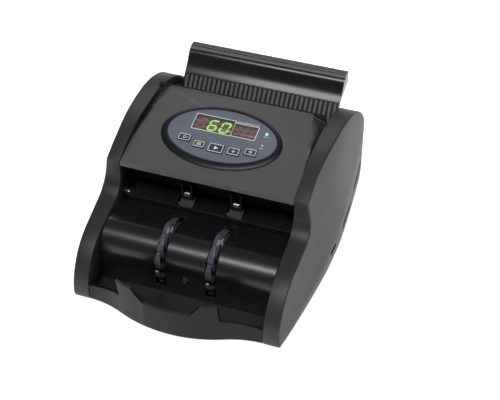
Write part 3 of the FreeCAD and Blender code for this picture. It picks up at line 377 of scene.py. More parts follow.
def finish_node(node, material, radius=0.3, segments=2, angle=32):
    """Give a carried-over node its finish and rounded edges, without touching its mesh."""
    piece = frame["nodes"][node]
    mesh = piece.data
    if "custom_normal" in mesh.attributes:
        mesh.attributes.remove(mesh.attributes["custom_normal"])
    mesh.polygons.foreach_set("use_smooth", [True] * len(mesh.polygons))
    mesh.materials.clear()
    mesh.materials.append(material)
    weld = piece.modifiers.new("joined_faces", "WELD")
    weld.merge_threshold = WELD_REACH * MM
    if radius:
        soften(piece, radius, segments, angle)


def arc_points(start, via, end, pitch):
    """Points along the arc from start through via to end, without its start."""
    (ax, ay), (bx, by), (cx, cy) = start, via, end
    twice = 2 * (ax * (by - cy) + bx * (cy - ay) + cx * (ay - by))
    square_a, square_b, square_c = ax * ax + ay * ay, bx * bx + by * by, cx * cx + cy * cy
    mid_x = (square_a * (by - cy) + square_b * (cy - ay) + square_c * (ay - by)) / twice
    mid_y = (square_a * (cx - bx) + square_b * (ax - cx) + square_c * (bx - ax)) / twice
    radius = math.hypot(ax - mid_x, ay - mid_y)
    first = math.atan2(ay - mid_y, ax - mid_x)
    middle = (math.atan2(by - mid_y, bx - mid_x) - first) % math.tau
    last = (math.atan2(cy - mid_y, cx - mid_x) - first) % math.tau
    if middle > last:
        last -= math.tau
    count = max(2, round(abs(last) * radius / pitch))
    turns = [first + last * (index + 1) / count for index in range(count)]
    return [(mid_x + radius * math.cos(turn), mid_y + radius * math.sin(turn)) for turn in turns]


def line_points(start, end, pitch):
    count = max(1, round(math.dist(start, end) / pitch))
    shares = [(index + 1) / count for index in range(count)]
    return [(start[0] + (end[0] - start[0]) * share, start[1] + (end[1] - start[1]) * share)
            for share in shares]


def trace(steps, pitch):
    """Points along an outline of lines (a, b) and arcs (via a, via b, a, b)."""
    points = [steps[0]]
    for step in steps[1:]:
        if len(step) == 2:
            points += line_points(points[-1], step, pitch)
        else:
            points += arc_points(points[-1], step[:2], step[2:], pitch)
    return points


def relaxed(points, passes):
    """The same run of points with its inner points eased towards their neighbours."""
    for _ in range(passes):
        inner = [((a[0] + 2 * b[0] + c[0]) / 4, (a[1] + 2 * b[1] + c[1]) / 4)
                 for a, b, c in zip(points, points[1:], points[2:])]
        points = [points[0], *inner, points[-1]]
    return points


def outward(points):
    """Unit normals to the left of an open run of points, lengthened at corners like a mitre."""
    normals = []
    for index in range(len(points)):
        sides = []
        for first, second in ((index - 1, index), (index, index + 1)):
            if 0 <= first and second < len(points):
                along = Vector(points[second]) - Vector(points[first])
                sides.append(Vector((-along.y, along.x)).normalized())
        total = sum(sides, Vector((0, 0))).normalized()
        normals.append(total / max(MITRE_LIMIT, total.dot(sides[0])))
    return normals


def moved_in(points, depth):
    """A run of points moved depth to its right."""
    return [(point[0] - normal.x * depth, point[1] - normal.y * depth)
            for point, normal in zip(points, outward(points))]


def inside(point, loop):
    """Whether a point lies in a closed loop."""
    found = False
    for (ax, ay), (bx, by) in zip(loop, loop[1:] + loop[:1]):
        if (ay > point[1]) != (by > point[1]) and point[0] < (bx - ax) * (point[1] - ay) / (by - ay) + ax:
            found = not found
    return found


def clearance(point, loop):
    """Distance from a point to the nearest corner of a loop."""
    return min(math.dist(point, corner) for corner in loop)


def filled(bm, outer, holes, place, grid=0.0, creases=()):
    """Fill a flat outline with triangles, leaving its holes; place turns a flat point into a 3-D one."""
    points, edges = [], []
    for loop in [outer, *holes]:
        first = len(points)
        points += loop
        edges += [(first + index, first + (index + 1) % len(loop)) for index in range(len(loop))]
    for crease in creases:
        first = len(points)
        points += crease
        edges += [(first + index, first + index + 1) for index in range(len(crease) - 1)]
    if grid:
        fixed = list(points)
        low_a, high_a = min(p[0] for p in outer), max(p[0] for p in outer)
        low_b, high_b = min(p[1] for p in outer), max(p[1] for p in outer)
        for row in range(int((high_b - low_b) / grid)):
            for column in range(int((high_a - low_a) / grid)):
                spot = (low_a + (column + 0.5 + 0.5 * (row % 2)) * grid, low_b + (row + 0.5) * grid)
                if inside(spot, outer) and clearance(spot, fixed) > GRID_MARGIN * grid:
                    points.append(spot)
    spots, _, faces, _, _, _ = delaunay_2d_cdt([Vector(p) for p in points], edges, [], 1, 1e-5)
    made = [bm.verts.new(place(*spot)) for spot in spots]
    for face in faces:
        middle = sum((spots[index] for index in face), Vector((0, 0))) / len(face)
        if inside(middle, outer) and not any(inside(middle, hole) for hole in holes):
            bm.faces.new([made[index] for index in face])
    for vert in made:
        if not vert.link_faces:
            bm.verts.remove(vert)


def strips(bm, rows, closed=False):
    """Quads between rows of points of equal length."""
    made = [[bm.verts.new(point) for point in row] for row in rows]
    for low, high in zip(made, made[1:]):
        count = len(low)
        for index in range(count if closed else count - 1):
            after = (index + 1) % count
            bm.faces.new((low[index], low[after], high[after], high[index]))


def thicken(piece, thickness):
    """Give a sheet its thickness, on the side away from its normals."""
    solid = piece.modifiers.new("wall", "SOLIDIFY")
    solid.thickness = thickness * MM
    solid.offset = -1
    solid.use_even_offset = True
    solid.thickness_clamp = 1.0


# ---------------------------------------------------------------- side covers

# Distance from the front, half-width at the base, half-width at the top, height of the upright band.
SIDE_STATIONS = [
    (-3, 102.4, 95.0, 4), (13, 105.0, 95.0, 5), (37, 108.3, 94.5, 8), (71, 112.0, 95.0, 12),
    (106, 115.0, 97.0, 17), (151, 115.9, 101.2, 27), (207, 112.4, 103.6, 43), (257, 107.6, 104.2, 64),
    (282, 103.0, 102.0, 79),
]
STATION_TOP = 130
INNER_HALF = 86.5
CASE_FOOT = 2
TOE_TO_LID = [(0, CASE_FOOT), (-1.2, 14, 5, 33), (21.5, 51.5, 44, 60.2), (70, 67), (81.5, 74.5, 86, 88),
              (86, 102.4)]
LID_TO_REAR = [(86, 102.4), (118, 115.8, 158, 120), (200, 117, 234, 104), (260, 80.5, 278, 49), (280, 30),
               (280, CASE_FOOT)]
FRONT_PITCH, REAR_PITCH, EASING = 2.2, 3.0, 3
EDGE_ROUND, INNER_ROUND = 1.5, 0.7
ROUND_STEPS = 5
COVER_WALL, COVER_GRID = 2.0, 5
SKIRT, SKIRT_START = 14, 96
TRAY_TOP = 4.7
FRONT_WALL_START, FRONT_WALL_END, SHAFT_SLOT_HALF = 3, 92, 5
# Cooling slots: middle from the front, level, length between the round ends, height.
VENTS = [(238, 21, 44, 5), (178, 14.5, 32, 4.5), (126, 16, 13, 4)]
SLOT_STEPS = 6
# Stops along the crease over the upright band, and how far they keep from the outline.
BREAK_LINE, BREAK_CLEAR = range(4, 276, 4), 2
COVER_JOIN_REACH = 0.02


def station(back, column):
    """A station value at any distance from the front, on a smooth curve through the stations."""
    stops = [row[0] for row in SIDE_STATIONS]
    values = [row[column] for row in SIDE_STATIONS]
    back = min(max(back, stops[0]), stops[-1])
    index = max(i for i in range(len(stops) - 1) if stops[i] <= back)

    def slope(i):
        low, high = max(0, i - 1), min(len(stops) - 1, i + 1)
        return (values[high] - values[low]) / (stops[high] - stops[low])

    span = stops[index + 1] - stops[index]
    share = (back - stops[index]) / span
    square, cube = share ** 2, share ** 3
    return ((2 * cube - 3 * square + 1) * values[index] + (cube - 2 * square + share) * span * slope(index)
            + (3 * square - 2 * cube) * values[index + 1] + (cube - square) * span * slope(index + 1))


def side_half_width(back, level):
    """Half the machine's width: upright near the floor, leaning in above."""
    base, top, upright = station(back, 1), station(back, 2), station(back, 3)
    return base + (top - base) * max(0, level - upright) / (STATION_TOP - upright)


def capsule(back, level, length, height):
    """The outline of a slot with round ends."""
    loop = []
    for side in (1, -1):
        for step in range(SLOT_STEPS + 1):
            turn = math.radians(90 * side - 180 * step / SLOT_STEPS)
            loop.append((back + side * length / 2 + height / 2 * math.cos(turn),
                         level + height / 2 * math.sin(turn)))
    return loop


def side_cover(side, node):
    """The moulded side: a rounded strip round the outline, the swept outer face and the inner wall."""
    profile = relaxed(trace(TOE_TO_LID, FRONT_PITCH), EASING)[:-1]
    profile += relaxed(trace(LID_TO_REAR, REAR_PITCH), EASING)
    quarter = [math.pi / 2 * step / ROUND_STEPS for step in range(ROUND_STEPS + 1)]
    rows = []
    for turn in quarter:
        ring = moved_in(profile, INNER_ROUND * (1 - math.sin(turn)))
        x = INNER_HALF + INNER_ROUND * (1 - math.cos(turn))
        rows.append([at(side * x, back, level) for back, level in ring])
    for turn in reversed(quarter):
        ring = moved_in(profile, EDGE_ROUND * (1 - math.sin(turn)))
        give = EDGE_ROUND * (1 - math.cos(turn))
        rows.append([at(side * (side_half_width(back, level) - give), back, level) for back, level in ring])
    outer = moved_in(profile, EDGE_ROUND)
    rows[-1] = [at(side * side_half_width(back, level), back, level) for back, level in outer]
    bm = bmesh.new()
    strips(bm, rows)

    outer += line_points(outer[-1], outer[0], COVER_GRID)[:-1]
    breaks = [(back, station(back, 3)) for back in BREAK_LINE]
    breaks = [spot for spot in breaks if inside(spot, outer) and clearance(spot, outer) > BREAK_CLEAR]
    filled(bm, outer, [capsule(*vent) for vent in VENTS],
           lambda back, level: at(side * side_half_width(back, level), back, level), COVER_GRID, [breaks])

    edge = moved_in(profile, INNER_ROUND)
    behind = [spot for spot in moved_in(profile, SKIRT) if spot[0] > SKIRT_START and spot[1] > TRAY_TOP + 1]
    slot_front, slot_rear = STACKER_BACK - SHAFT_SLOT_HALF, STACKER_BACK + SHAFT_SLOT_HALF
    slot_round = arc_points((slot_front, STACKER_LEVEL), (STACKER_BACK, STACKER_LEVEL + SHAFT_SLOT_HALF),
                            (slot_rear, STACKER_LEVEL), 1.5)
    shaft_slot = [(slot_front, TRAY_TOP), (slot_front, STACKER_LEVEL), *slot_round, (slot_rear, TRAY_TOP)]
    wall = edge + [(behind[-1][0], CASE_FOOT)] + behind[::-1]
    wall += [(FRONT_WALL_END, behind[0][1]), (FRONT_WALL_END, TRAY_TOP)]
    wall += shaft_slot[::-1] + [(FRONT_WALL_START, TRAY_TOP), (FRONT_WALL_START, CASE_FOOT)]
    filled(bm, wall, [], lambda back, level: at(side * INNER_HALF, back, level))
    bmesh.ops.remove_doubles(bm, verts=bm.verts, dist=COVER_JOIN_REACH * MM)
    bmesh.ops.recalc_face_normals(bm, faces=bm.faces)
    widest = max(bm.faces, key=lambda face: abs(face.calc_center_median().x))
    if widest.normal.x * side < 0:
        bmesh.ops.reverse_faces(bm, faces=bm.faces)
    cover = new_piece(node + "_shell", bm, CHEEK, replaced=[node])
    keep_sharp(cover, 50)
    thicken(cover, COVER_WALL)


side_cover(-1, "left_side_cover")
side_cover(1, "right_side_cover")


# ---------------------------------------------------------------- panel

LID_LOW, LID_LOW_LEVEL, LID_HIGH, LID_HIGH_LEVEL = 86, 102.4, 187, 126
PANEL_SHIFT, PANEL_RISE = -2.5, 52
BEZEL_HALF, BEZEL_HALF_HIGH, BEZEL_RIM = 60.4, 37.1, 6
OVERLAY_SHIFT = 2.3
SLOPE = math.atan2(LID_HIGH_LEVEL - LID_LOW_LEVEL, LID_HIGH - LID_LOW)
PANEL = (Matrix.Translation(at(0, LID_LOW, LID_LOW_LEVEL)) @ Matrix.Rotation(SLOPE, 4, "X")
         @ Matrix.Translation(Vector((PANEL_SHIFT, PANEL_RISE, 0)) * MM))
OVERLAY_TOP = 1.2


def on_panel(x, up, lift):
    """A place on the sloping panel: across, up the slope and above the lid's face."""
    return PANEL @ (Vector((x, up, lift)) * MM)


# The rim's section: share of the way from the outer to the inner oval, and height.
RIM_SECTION = [(0.0, 0.0), (0.03, 0.55), (0.14, 1.15), (0.34, 1.9), (0.55, 2.35), (0.76, 2.58), (0.88, 2.5),
               (0.95, 2.2), (1.0, 1.7), (1.0, 0.3)]


RIM_SIDES = 160


def bezel_ring():
    """The bezel's raised oval rim, which is wider below the overlay than above it."""
    bm = bmesh.new()
    rows = []
    for share, height in RIM_SECTION + [RIM_SECTION[0]]:
        row = []
        for index in range(RIM_SIDES):
            turn = math.tau * index / RIM_SIDES
            half = BEZEL_HALF - BEZEL_RIM * share
            high = BEZEL_HALF_HIGH - BEZEL_RIM * share
            row.append(on_panel(half * math.cos(turn), high * math.sin(turn) + OVERLAY_SHIFT * share, height))
        rows.append(row)
    strips(bm, rows, closed=True)
    bmesh.ops.remove_doubles(bm, verts=bm.verts, dist=JOIN_REACH * MM)
    bmesh.ops.recalc_face_normals(bm, faces=bm.faces)
    ring = new_piece("bezel_ring", bm, BEZEL, replaced=["panel_bezel"])
    keep_sharp(ring, 60)


bezel_ring()


def round_rect(x, up, wide, high, radius, steps=4):
    """The outline of a rectangle with round corners."""
    loop = []
    for corner, (side_x, side_up) in enumerate(((1, 1), (-1, 1), (-1, -1), (1, -1))):
        for step in range(steps + 1):
            turn = math.pi / 2 * (corner + step / steps)
            loop.append((x + side_x * (wide / 2 - radius) + radius * math.cos(turn),
                         up + side_up * (high / 2 - radius) + radius * math.sin(turn)))
    return loop


def printed(name, shapes, lift, material, thick=0.06, body="root"):
    """Thin printed or inlaid shapes on the panel: a list of (outer loop, holes)."""
    bm = bmesh.new()
    for outer, holes in shapes:
        filled(bm, outer, holes, lambda x, up: on_panel(x, up, lift))
    turn_up(bm)
    piece = new_piece(name, bm, material, body)
    thicken(piece, thick)
    return piece


# Windows and keys: centre across and up the slope, width and height.
COUNT_WINDOW = (-12.4, 13.6, 39.0, 18.2)
BATCH_WINDOW = (19.6, 12.7, 23.4, 15.6)
KEYS = {
    "mode_key": (-34.0, -8.6, 12.4, 8.2),
    "batch_key": (-17.6, -13.2, 11.6, 7.8),
    "start_key": (-0.4, -13.8, 15.0, 10.4),
    "add_key": (17.0, -13.4, 12.0, 8.6),
    "uv_key": (33.0, -10.0, 11.6, 8.0),
}
LINE = 0.75
WINDOW_TOP, WINDOW_THICK, WINDOW_MARGIN = 1.06, 0.5, 0.3
DIGIT_LEAN, DIGIT_SPREAD, BAR_GAP = 0.16, 0.93, 0.12
# Height over the window, and thickness.
UNLIT_LIFT, UNLIT_THICK = 0.05, 0.05
LIT_LIFT, LIT_THICK = 0.09, 0.08


def bar(ax, ay, bx, by, half):
    """A six-cornered display segment from a to b."""
    along = Vector((bx - ax, by - ay)).normalized()
    across = Vector((-along.y, along.x)) * half
    start, end = Vector((ax, ay)), Vector((bx, by))
    corners = [start, start + along * half + across, end - along * half + across, end,
               end - along * half - across, start + along * half - across]
    return [tuple(corner) for corner in corners]


def digit_bars(x, up, wide, high, half, lit):
    """Seven-segment bars of one leaning digit; lit is a string of segment letters."""
    gap = BAR_GAP * half
    left, right, low, middle, top = -wide / 2, wide / 2, -high / 2, 0, high / 2
    ends = {
        "a": (left, top, right, top), "b": (right, top, right, middle), "c": (right, middle, right, low),
        "d": (left, low, right, low), "e": (left, middle, left, low), "f": (left, top, left, middle),
        "g": (left, middle, right, middle),
    }
    shapes = []
    for letter in lit:
        ax, ay, bx, by = ends[letter]
        along = Vector((bx - ax, by - ay)).normalized() * gap
        loop = bar(ax + along.x, ay + along.y, bx - along.x, by - along.y, half)
        shapes.append(([(x + px + DIGIT_LEAN * py, up + py) for px, py in loop], []))
    return shapes


DIGITS = {"6": "acdefg", "0": "abcdef", "8": "abcdefg"}


def display(window, name, symbols, digit_wide, digit_high, half, node, drop=0):
    """A tinted window with its leaning digits; a symbol of . stands for one that isn't lit."""
    x, up, wide, high = window
    pane = round_rect(x, up, wide - WINDOW_MARGIN, high - WINDOW_MARGIN, 0.5)
    printed(name + "_window", [(pane, [])], WINDOW_TOP, WINDOW, WINDOW_THICK)
    pitch = wide / len(symbols) * DIGIT_SPREAD
    lit, unlit = [], []
    for index, symbol in enumerate(symbols):
        middle = x + (index - (len(symbols) - 1) / 2) * pitch
        letters = DIGITS.get(symbol, "")
        lit += digit_bars(middle, up - drop, digit_wide, digit_high, half, letters)
        dark = [letter for letter in DIGITS["8"] if letter not in letters]
        unlit += digit_bars(middle, up - drop, digit_wide, digit_high, half, dark)
    printed(name + "_unlit_digits", unlit, WINDOW_TOP + UNLIT_LIFT, UNLIT, UNLIT_THICK)
    if lit:
        printed(name + "_lit_digits", lit, WINDOW_TOP + LIT_LIFT, LIT, LIT_THICK)
    finish_node(node, WINDOW, 0.2)


display(COUNT_WINDOW, "count", ".60", 7.4, 12.0, 0.9, "count_display", 1.5)
display(BATCH_WINDOW, "batch", "...", 4.6, 9.6, 0.62, "batch_display", 0.6)


def ring_shape(x, up, radius, inner, steps=20):
    loops = [[(x + size * math.cos(math.tau * i / steps), up + size * math.sin(math.tau * i / steps))
              for i in range(steps)] for size in (radius, inner)]
    return loops[0], [loops[1]] if inner else []


PLUS_ARM, PLUS_HALF = 1.8, 0.35
RAYS, RAY_START, RAY_END, RAY_HALF = 8, 1.3, 2.1, 0.22


def key_icon(name, x, up):
    """A plain pictogram: ring, stacked sheets, triangle, plus or sun."""
    if name == "mode_key":
        return [ring_shape(x, up, 1.5, 0.9), (round_rect(x + 2.9, up, 1.8, 0.6, 0.1), [])]
    if name == "batch_key":
        return [(round_rect(x, up + step * 1.3, 5.2, 0.6, 0.1), []) for step in (-1, 0, 1)]
    if name == "start_key":
        return [([(x - 1.6, up - 2.1), (x + 2.4, up), (x - 1.6, up + 2.1)], [])]
    if name == "add_key":
        arm, half = PLUS_ARM, PLUS_HALF
        plus = [(-half, -arm), (half, -arm), (half, -half), (arm, -half), (arm, half), (half, half),
                (half, arm), (-half, arm), (-half, half), (-arm, half), (-arm, -half), (-half, -half)]
        return [([(x + across, up + rise) for across, rise in plus], [])]
    rays = [ring_shape(x, up, 0.9, 0)]
    for index in range(RAYS):
        turn = math.tau * index / RAYS
        along = Vector((math.cos(turn), math.sin(turn)))
        near, far = along * RAY_START, along * RAY_END
        across = Vector((-along.y, along.x)) * RAY_HALF
        corners = (near + across, near - across, far - across, far + across)
        rays.append(([(x + corner.x, up + corner.y) for corner in corners], []))
    return rays


KEY_PRINT_LEVEL, KEY_PRINT_THICK = 2.02, 0.1
# How much narrower than its key the border's outside and its inside are.
BORDER_OUTSIDE, BORDER_INSIDE = 0.9, 2.2


def keys():
    """Each key's finish, and the white border and sign that move with it."""
    for name, (x, up, wide, high) in KEYS.items():
        finish_node(name, KEY_FACE, 0.5, 3)
        border = (round_rect(x, up, wide - BORDER_OUTSIDE, high - BORDER_OUTSIDE, 1.0),
                  [round_rect(x, up, wide - BORDER_INSIDE, high - BORDER_INSIDE, 0.6)])
        for part, shapes in (("_border", [border]), ("_sign", key_icon(name, x, up))):
            printed(name + part, shapes, KEY_PRINT_LEVEL, PRINT, KEY_PRINT_THICK, body=name)


keys()


LAMP_X = 40.9
LAMP_UPS = (0.6, 15)
LAMP_MARK_DROP, LAMP_MARK_WIDE, LAMP_MARK_HIGH = 3.4, 4.2, 0.5
TICKS, TICK_PITCH, TICK_WIDE, TICK_LEAN, TICK_HIGH = 11, 2.0, 0.8, 0.9, 1.3
TICK_START, TICK_GAP = 10.5, 1.6


def panel_print():
    """White outlines round both windows, the row of slanted ticks and the lamps' marks."""
    shapes = []
    for x, up, wide, high in (COUNT_WINDOW, BATCH_WINDOW):
        shapes.append((round_rect(x, up, wide + 2 * LINE, high + 2 * LINE, 0.8),
                       [round_rect(x, up, wide - 0.1, high - 0.1, 0.5)]))
    x, up, wide, high = BATCH_WINDOW
    base = up + high / 2 + TICK_GAP
    for index in range(TICKS):
        start = x - TICK_START + index * TICK_PITCH
        shapes.append(([(start, base), (start + TICK_WIDE, base),
                        (start + TICK_WIDE + TICK_LEAN, base + TICK_HIGH),
                        (start + TICK_LEAN, base + TICK_HIGH)], []))
    for lamp in LAMP_UPS:
        shapes.append((round_rect(LAMP_X, lamp - LAMP_MARK_DROP, LAMP_MARK_WIDE, LAMP_MARK_HIGH, 0.1), []))
    printed("panel_print", shapes, OVERLAY_TOP + 0.03, PRINT, 0.06)


panel_print()


LENS_RADIUS, LENS_RIM, LENS_DOME, LENS_FOOT, LENS_SIDES = 1.35, 0.1, 0.45, -1, 24
LENS_SHARES = (0.0, 0.35, 0.65, 0.85, 0.96, 1.0)


def lamp_lens(name, up, material):
    """A small domed lens that stands in its hole in the film."""
    bm = bmesh.new()
    turns = [math.tau * index / LENS_SIDES for index in range(LENS_SIDES)]
    section = [(max(0.02, LENS_RADIUS * share),
                OVERLAY_TOP + LENS_RIM + LENS_DOME * math.sqrt(1 - share ** 2)) for share in LENS_SHARES]
    section.append((LENS_RADIUS, LENS_FOOT))
    strips(bm, [[on_panel(LAMP_X + radius * math.cos(turn), up + radius * math.sin(turn), height)
                 for turn in turns] for radius, height in section], closed=True)
    bmesh.ops.holes_fill(bm, edges=bm.edges)
    bmesh.ops.recalc_face_normals(bm, faces=bm.faces)
    new_piece(name, bm, material)


lamp_lens("upper_lamp_lens", LAMP_UPS[1], GREEN_LAMP)
lamp_lens("lower_lamp_lens", LAMP_UPS[0], DULL_LAMP)
finish_node("indicator_lamps", DULL_LAMP, 0.1)


# ---------------------------------------------------------------- stacker cover's fine ridges

RIDGES, RIDGE_PITCH, RIDGE_FIRST = 13, 3.3, 43
RIDGE_START, RIDGE_END = Vector((58, 60.4)), Vector((84, 55.95))
# A ridge's section: across it, and up from the cover's face.
RIDGE_SECTION = [(-0.5, -0.4), (-0.35, 0.154), (0, 0.22), (0.35, 0.154), (0.5, -0.4)]
# Along a ridge: share of the way, and share of the height.
RIDGE_RUN = [(0, 0), (0.08, 1), (0.5, 1), (0.92, 1), (1, 0)]


def cover_ridges():
    """Low ridges along the sloping top of the stacker cover, outside the stacker wheels."""
    bm = bmesh.new()
    stops = [(RIDGE_START.lerp(RIDGE_END, share), lift) for share, lift in RIDGE_RUN]
    for side in (-1, 1):
        for index in range(RIDGES):
            x = side * (RIDGE_FIRST + index * RIDGE_PITCH)
            strips(bm, [[at(x + across, spot.x, spot.y + rise * lift) for spot, lift in stops]
                        for across, rise in RIDGE_SECTION])
    bmesh.ops.recalc_face_normals(bm, faces=bm.faces)
    new_piece("stacker_cover_ridges", bm, GLOSS)


cover_ridges()


# ---------------------------------------------------------------- hopper's grooved top and ribs

TOP_CENTRE_BACK, TOP_CENTRE_LEVEL, TOP_RADIUS = 269.7, 108.6, 14
TOP_FLAT_START, TOP_FLAT_FALL = 268.6, 1 / 6
# Start and end of each band between the grooves, from the front.
TOP_BANDS = [(262.0, 264.85), (265.95, 267.35), (268.45, 269.85), (270.95, 272.6)]
BAND_LIFTS = (0.02, 0.11, 0.13, 0.13, 0.11, 0.02)
BAND_ROOT = 0.4
TOP_HALF = 83.8


def top_level(back):
    """Height of the hopper chute's rounded top."""
    if back < TOP_FLAT_START:
        return TOP_CENTRE_LEVEL + math.sqrt(TOP_RADIUS ** 2 - (back - TOP_CENTRE_BACK) ** 2)
    return top_level(TOP_FLAT_START - 0.001) - (back - TOP_FLAT_START) * TOP_FLAT_FALL


def hopper_top_bands():
    """Bands along the hopper's top in a lighter colour that paints the reflection on it, with the grooves
    left between them.
    """
    bm = bmesh.new()
    for start, end in TOP_BANDS:
        backs = [start + (end - start) * step / 5 for step in range(6)]
        loop = [(back, top_level(back) + lift) for back, lift in zip(backs, BAND_LIFTS)]
        loop += [(back, top_level(back) - BAND_ROOT) for back in reversed(backs)]
        strips(bm, [[at(x, *point) for point in loop] for x in (-TOP_HALF, 0, TOP_HALF)], closed=True)
    bmesh.ops.holes_fill(bm, edges=bm.edges)
    bmesh.ops.recalc_face_normals(bm, faces=bm.faces)
    # The bands' lighter colour is a painted reflection on the hopper's top.
    bands = new_piece("hopper_top_bands", bm, TOP_BAND)
    keep_sharp(bands, 50)


hopper_top_bands()


RIB_COUNT, RIB_PITCH, RIB_PROUD, RIB_END_GAP = 33, 5, 0.8, 0.5
RIB_LOW, RIB_HIGH = Vector((230, 81.94)), Vector((245, 100.28))
# A face's section: across the rib, and above it.
RIB_FACE_SECTION = [(-1.5, -0.3), (-1.3, 0.1), (1.3, 0.1), (1.5, -0.3), (-1.5, -0.3)]


def hopper_rib_faces():
    """A lighter matt face on each rib on the hopper's slope."""
    bm = bmesh.new()
    slope = RIB_HIGH - RIB_LOW
    along = slope.normalized()
    lift = Vector((-along.y, along.x))
    stops = [RIB_LOW + along * way for way in (RIB_END_GAP, slope.length / 2, slope.length - RIB_END_GAP)]
    for index in range(RIB_COUNT):
        middle = (index - (RIB_COUNT - 1) / 2) * RIB_PITCH
        strips(bm, [[at(middle + across, *(stop + lift * (RIB_PROUD + rise))) for stop in stops]
                    for across, rise in RIB_FACE_SECTION])
    close_up(bm)
    faces = new_piece("hopper_rib_faces", bm, RIB_FACE)
    keep_sharp(faces, 30)


hopper_rib_faces()


# ---------------------------------------------------------------- stacker wheels

WHEEL_HALF, BLADE_HALF = 25, 3
BLADES, FIRST_BLADE = 10, 12
BLADE_TIP, BLADE_ROOT, HUB_RADIUS, SHAFT_RADIUS = 31.4, 8, 9.5, 3
# Each side of a blade is an arc: radius and degrees behind the root, at its start, middle and end.
BLADE_TOP = [(BLADE_ROOT, 0), (22.5, 32), (BLADE_TIP, 82)]
BLADE_UNDER = [(BLADE_ROOT, 13), (20.8, 35), (BLADE_TIP - 1.4, 84)]
BLADE_STAGES, FEATHER_START, FEATHER_LOSS, FEATHER_CURVE = 9, 0.8, 0.5, 1.4
CREST_SHIFT, SHOULDER_DROP = 0.2, 0.3
HUB_OVERHANG, HUB_EDGE, HUB_SIDES = 2, 0.5, 36


def about_stacker(radius, degrees):
    """A place round the stacker shaft, as back and level."""
    turn = math.radians(degrees)
    return STACKER_BACK + radius * math.cos(turn), STACKER_LEVEL + radius * math.sin(turn)


def evenly(points, count):
    """count points at equal distances along an open run."""
    lengths = [0]
    for a, b in zip(points, points[1:]):
        lengths.append(lengths[-1] + math.dist(a, b))
    spaced = []
    for index in range(count):
        goal = lengths[-1] * index / (count - 1)
        part = max(i for i in range(len(points) - 1) if lengths[i] <= goal + 1e-9)
        share = (goal - lengths[part]) / (lengths[part + 1] - lengths[part])
        spaced.append(tuple(a + (b - a) * share for a, b in zip(points[part], points[part + 1])))
    return spaced


def blade_side(arc, root):
    """Points at equal distances along one side of a blade."""
    start, middle, end = [about_stacker(radius, root - behind) for radius, behind in arc]
    return evenly([start] + arc_points(start, middle, end, 1), BLADE_STAGES)


def stacker_wheel(side, node):
    """A wheel of swept, ridged blades that narrow to a feather tip, on a hub with a bore."""
    middle = side * WHEEL_HALF
    bm = bmesh.new()
    for index in range(BLADES):
        root = FIRST_BLADE + 360 / BLADES * index
        rows = []
        for stage, (top, under) in enumerate(zip(blade_side(BLADE_TOP, root), blade_side(BLADE_UNDER, root))):
            feather = max(0, (stage / (BLADE_STAGES - 1) - FEATHER_START) / (1 - FEATHER_START))
            half = BLADE_HALF * (1 - FEATHER_LOSS * feather ** FEATHER_CURVE)
            edge = tuple(a + (b - a) * SHOULDER_DROP for a, b in zip(top, under))
            rows.append([at(middle - half, *edge), at(middle + CREST_SHIFT * half, *top),
                         at(middle + half, *edge), at(middle + half, *under), at(middle - half, *under)])
        strips(bm, rows, closed=True)
    hub_half = BLADE_HALF + HUB_OVERHANG
    hub = [(SHAFT_RADIUS, hub_half), (HUB_RADIUS - HUB_EDGE, hub_half), (HUB_RADIUS, hub_half - HUB_EDGE),
           (HUB_RADIUS, HUB_EDGE - hub_half), (HUB_RADIUS - HUB_EDGE, -hub_half), (SHAFT_RADIUS, -hub_half),
           (SHAFT_RADIUS, hub_half)]
    strips(bm, [[at(middle + x, *about_stacker(radius, 360 * step / HUB_SIDES)) for step in range(HUB_SIDES)]
                for radius, x in hub], closed=True)
    bmesh.ops.holes_fill(bm, edges=bm.edges)
    bmesh.ops.remove_doubles(bm, verts=bm.verts, dist=JOIN_REACH * MM)
    bmesh.ops.recalc_face_normals(bm, faces=bm.faces)
    wheel = new_piece(node + "_blades", bm, WHEEL, body="stacker", replaced=[node])
    keep_sharp(wheel, 7)


stacker_wheel(-1, "left_stacker_wheel")
stacker_wheel(1, "right_stacker_wheel")


# ---------------------------------------------------------------- the lid's rim and painted gap shadow

# The lid's side bevel: inner edge, outer edge and outer edge's level at the rear, and its front corner.
FACET_IN, FACET_OUT, FACET_LEVEL = 73.1, 86.1, 119
FACET_START, FACET_START_LEVEL = 114.2, 109
GAP_SHADOW_START, GAP_SHADOW_WIDE, GAP_SHADOW_TAPER, GAP_SHADOW_PITCH = 128, 3.4, 20, 6
# A gap-shadow strip's section: share of its width, and height over the bevel.
GAP_SHADOW_SECTION = [(0, -0.8), (0, 0.25), (1, 0.25), (1, -0.8), (0, -0.8)]
RIM_OVERLAP, RIM_BEHIND, RIM_DEPTH, RIM_EDGE = 1.8, 2.2, 10, 0.3
FACING_PROUD, FACING_THICK = 0.14, 0.4


def facet_level(x, back):
    """Height of the lid's side bevel."""
    along = (back - FACET_START) / (LID_HIGH - FACET_START)
    across = (LID_HIGH_LEVEL - FACET_LEVEL) / (FACET_OUT - FACET_IN)
    return FACET_START_LEVEL + (FACET_LEVEL - FACET_START_LEVEL) * along + (FACET_OUT - x) * across


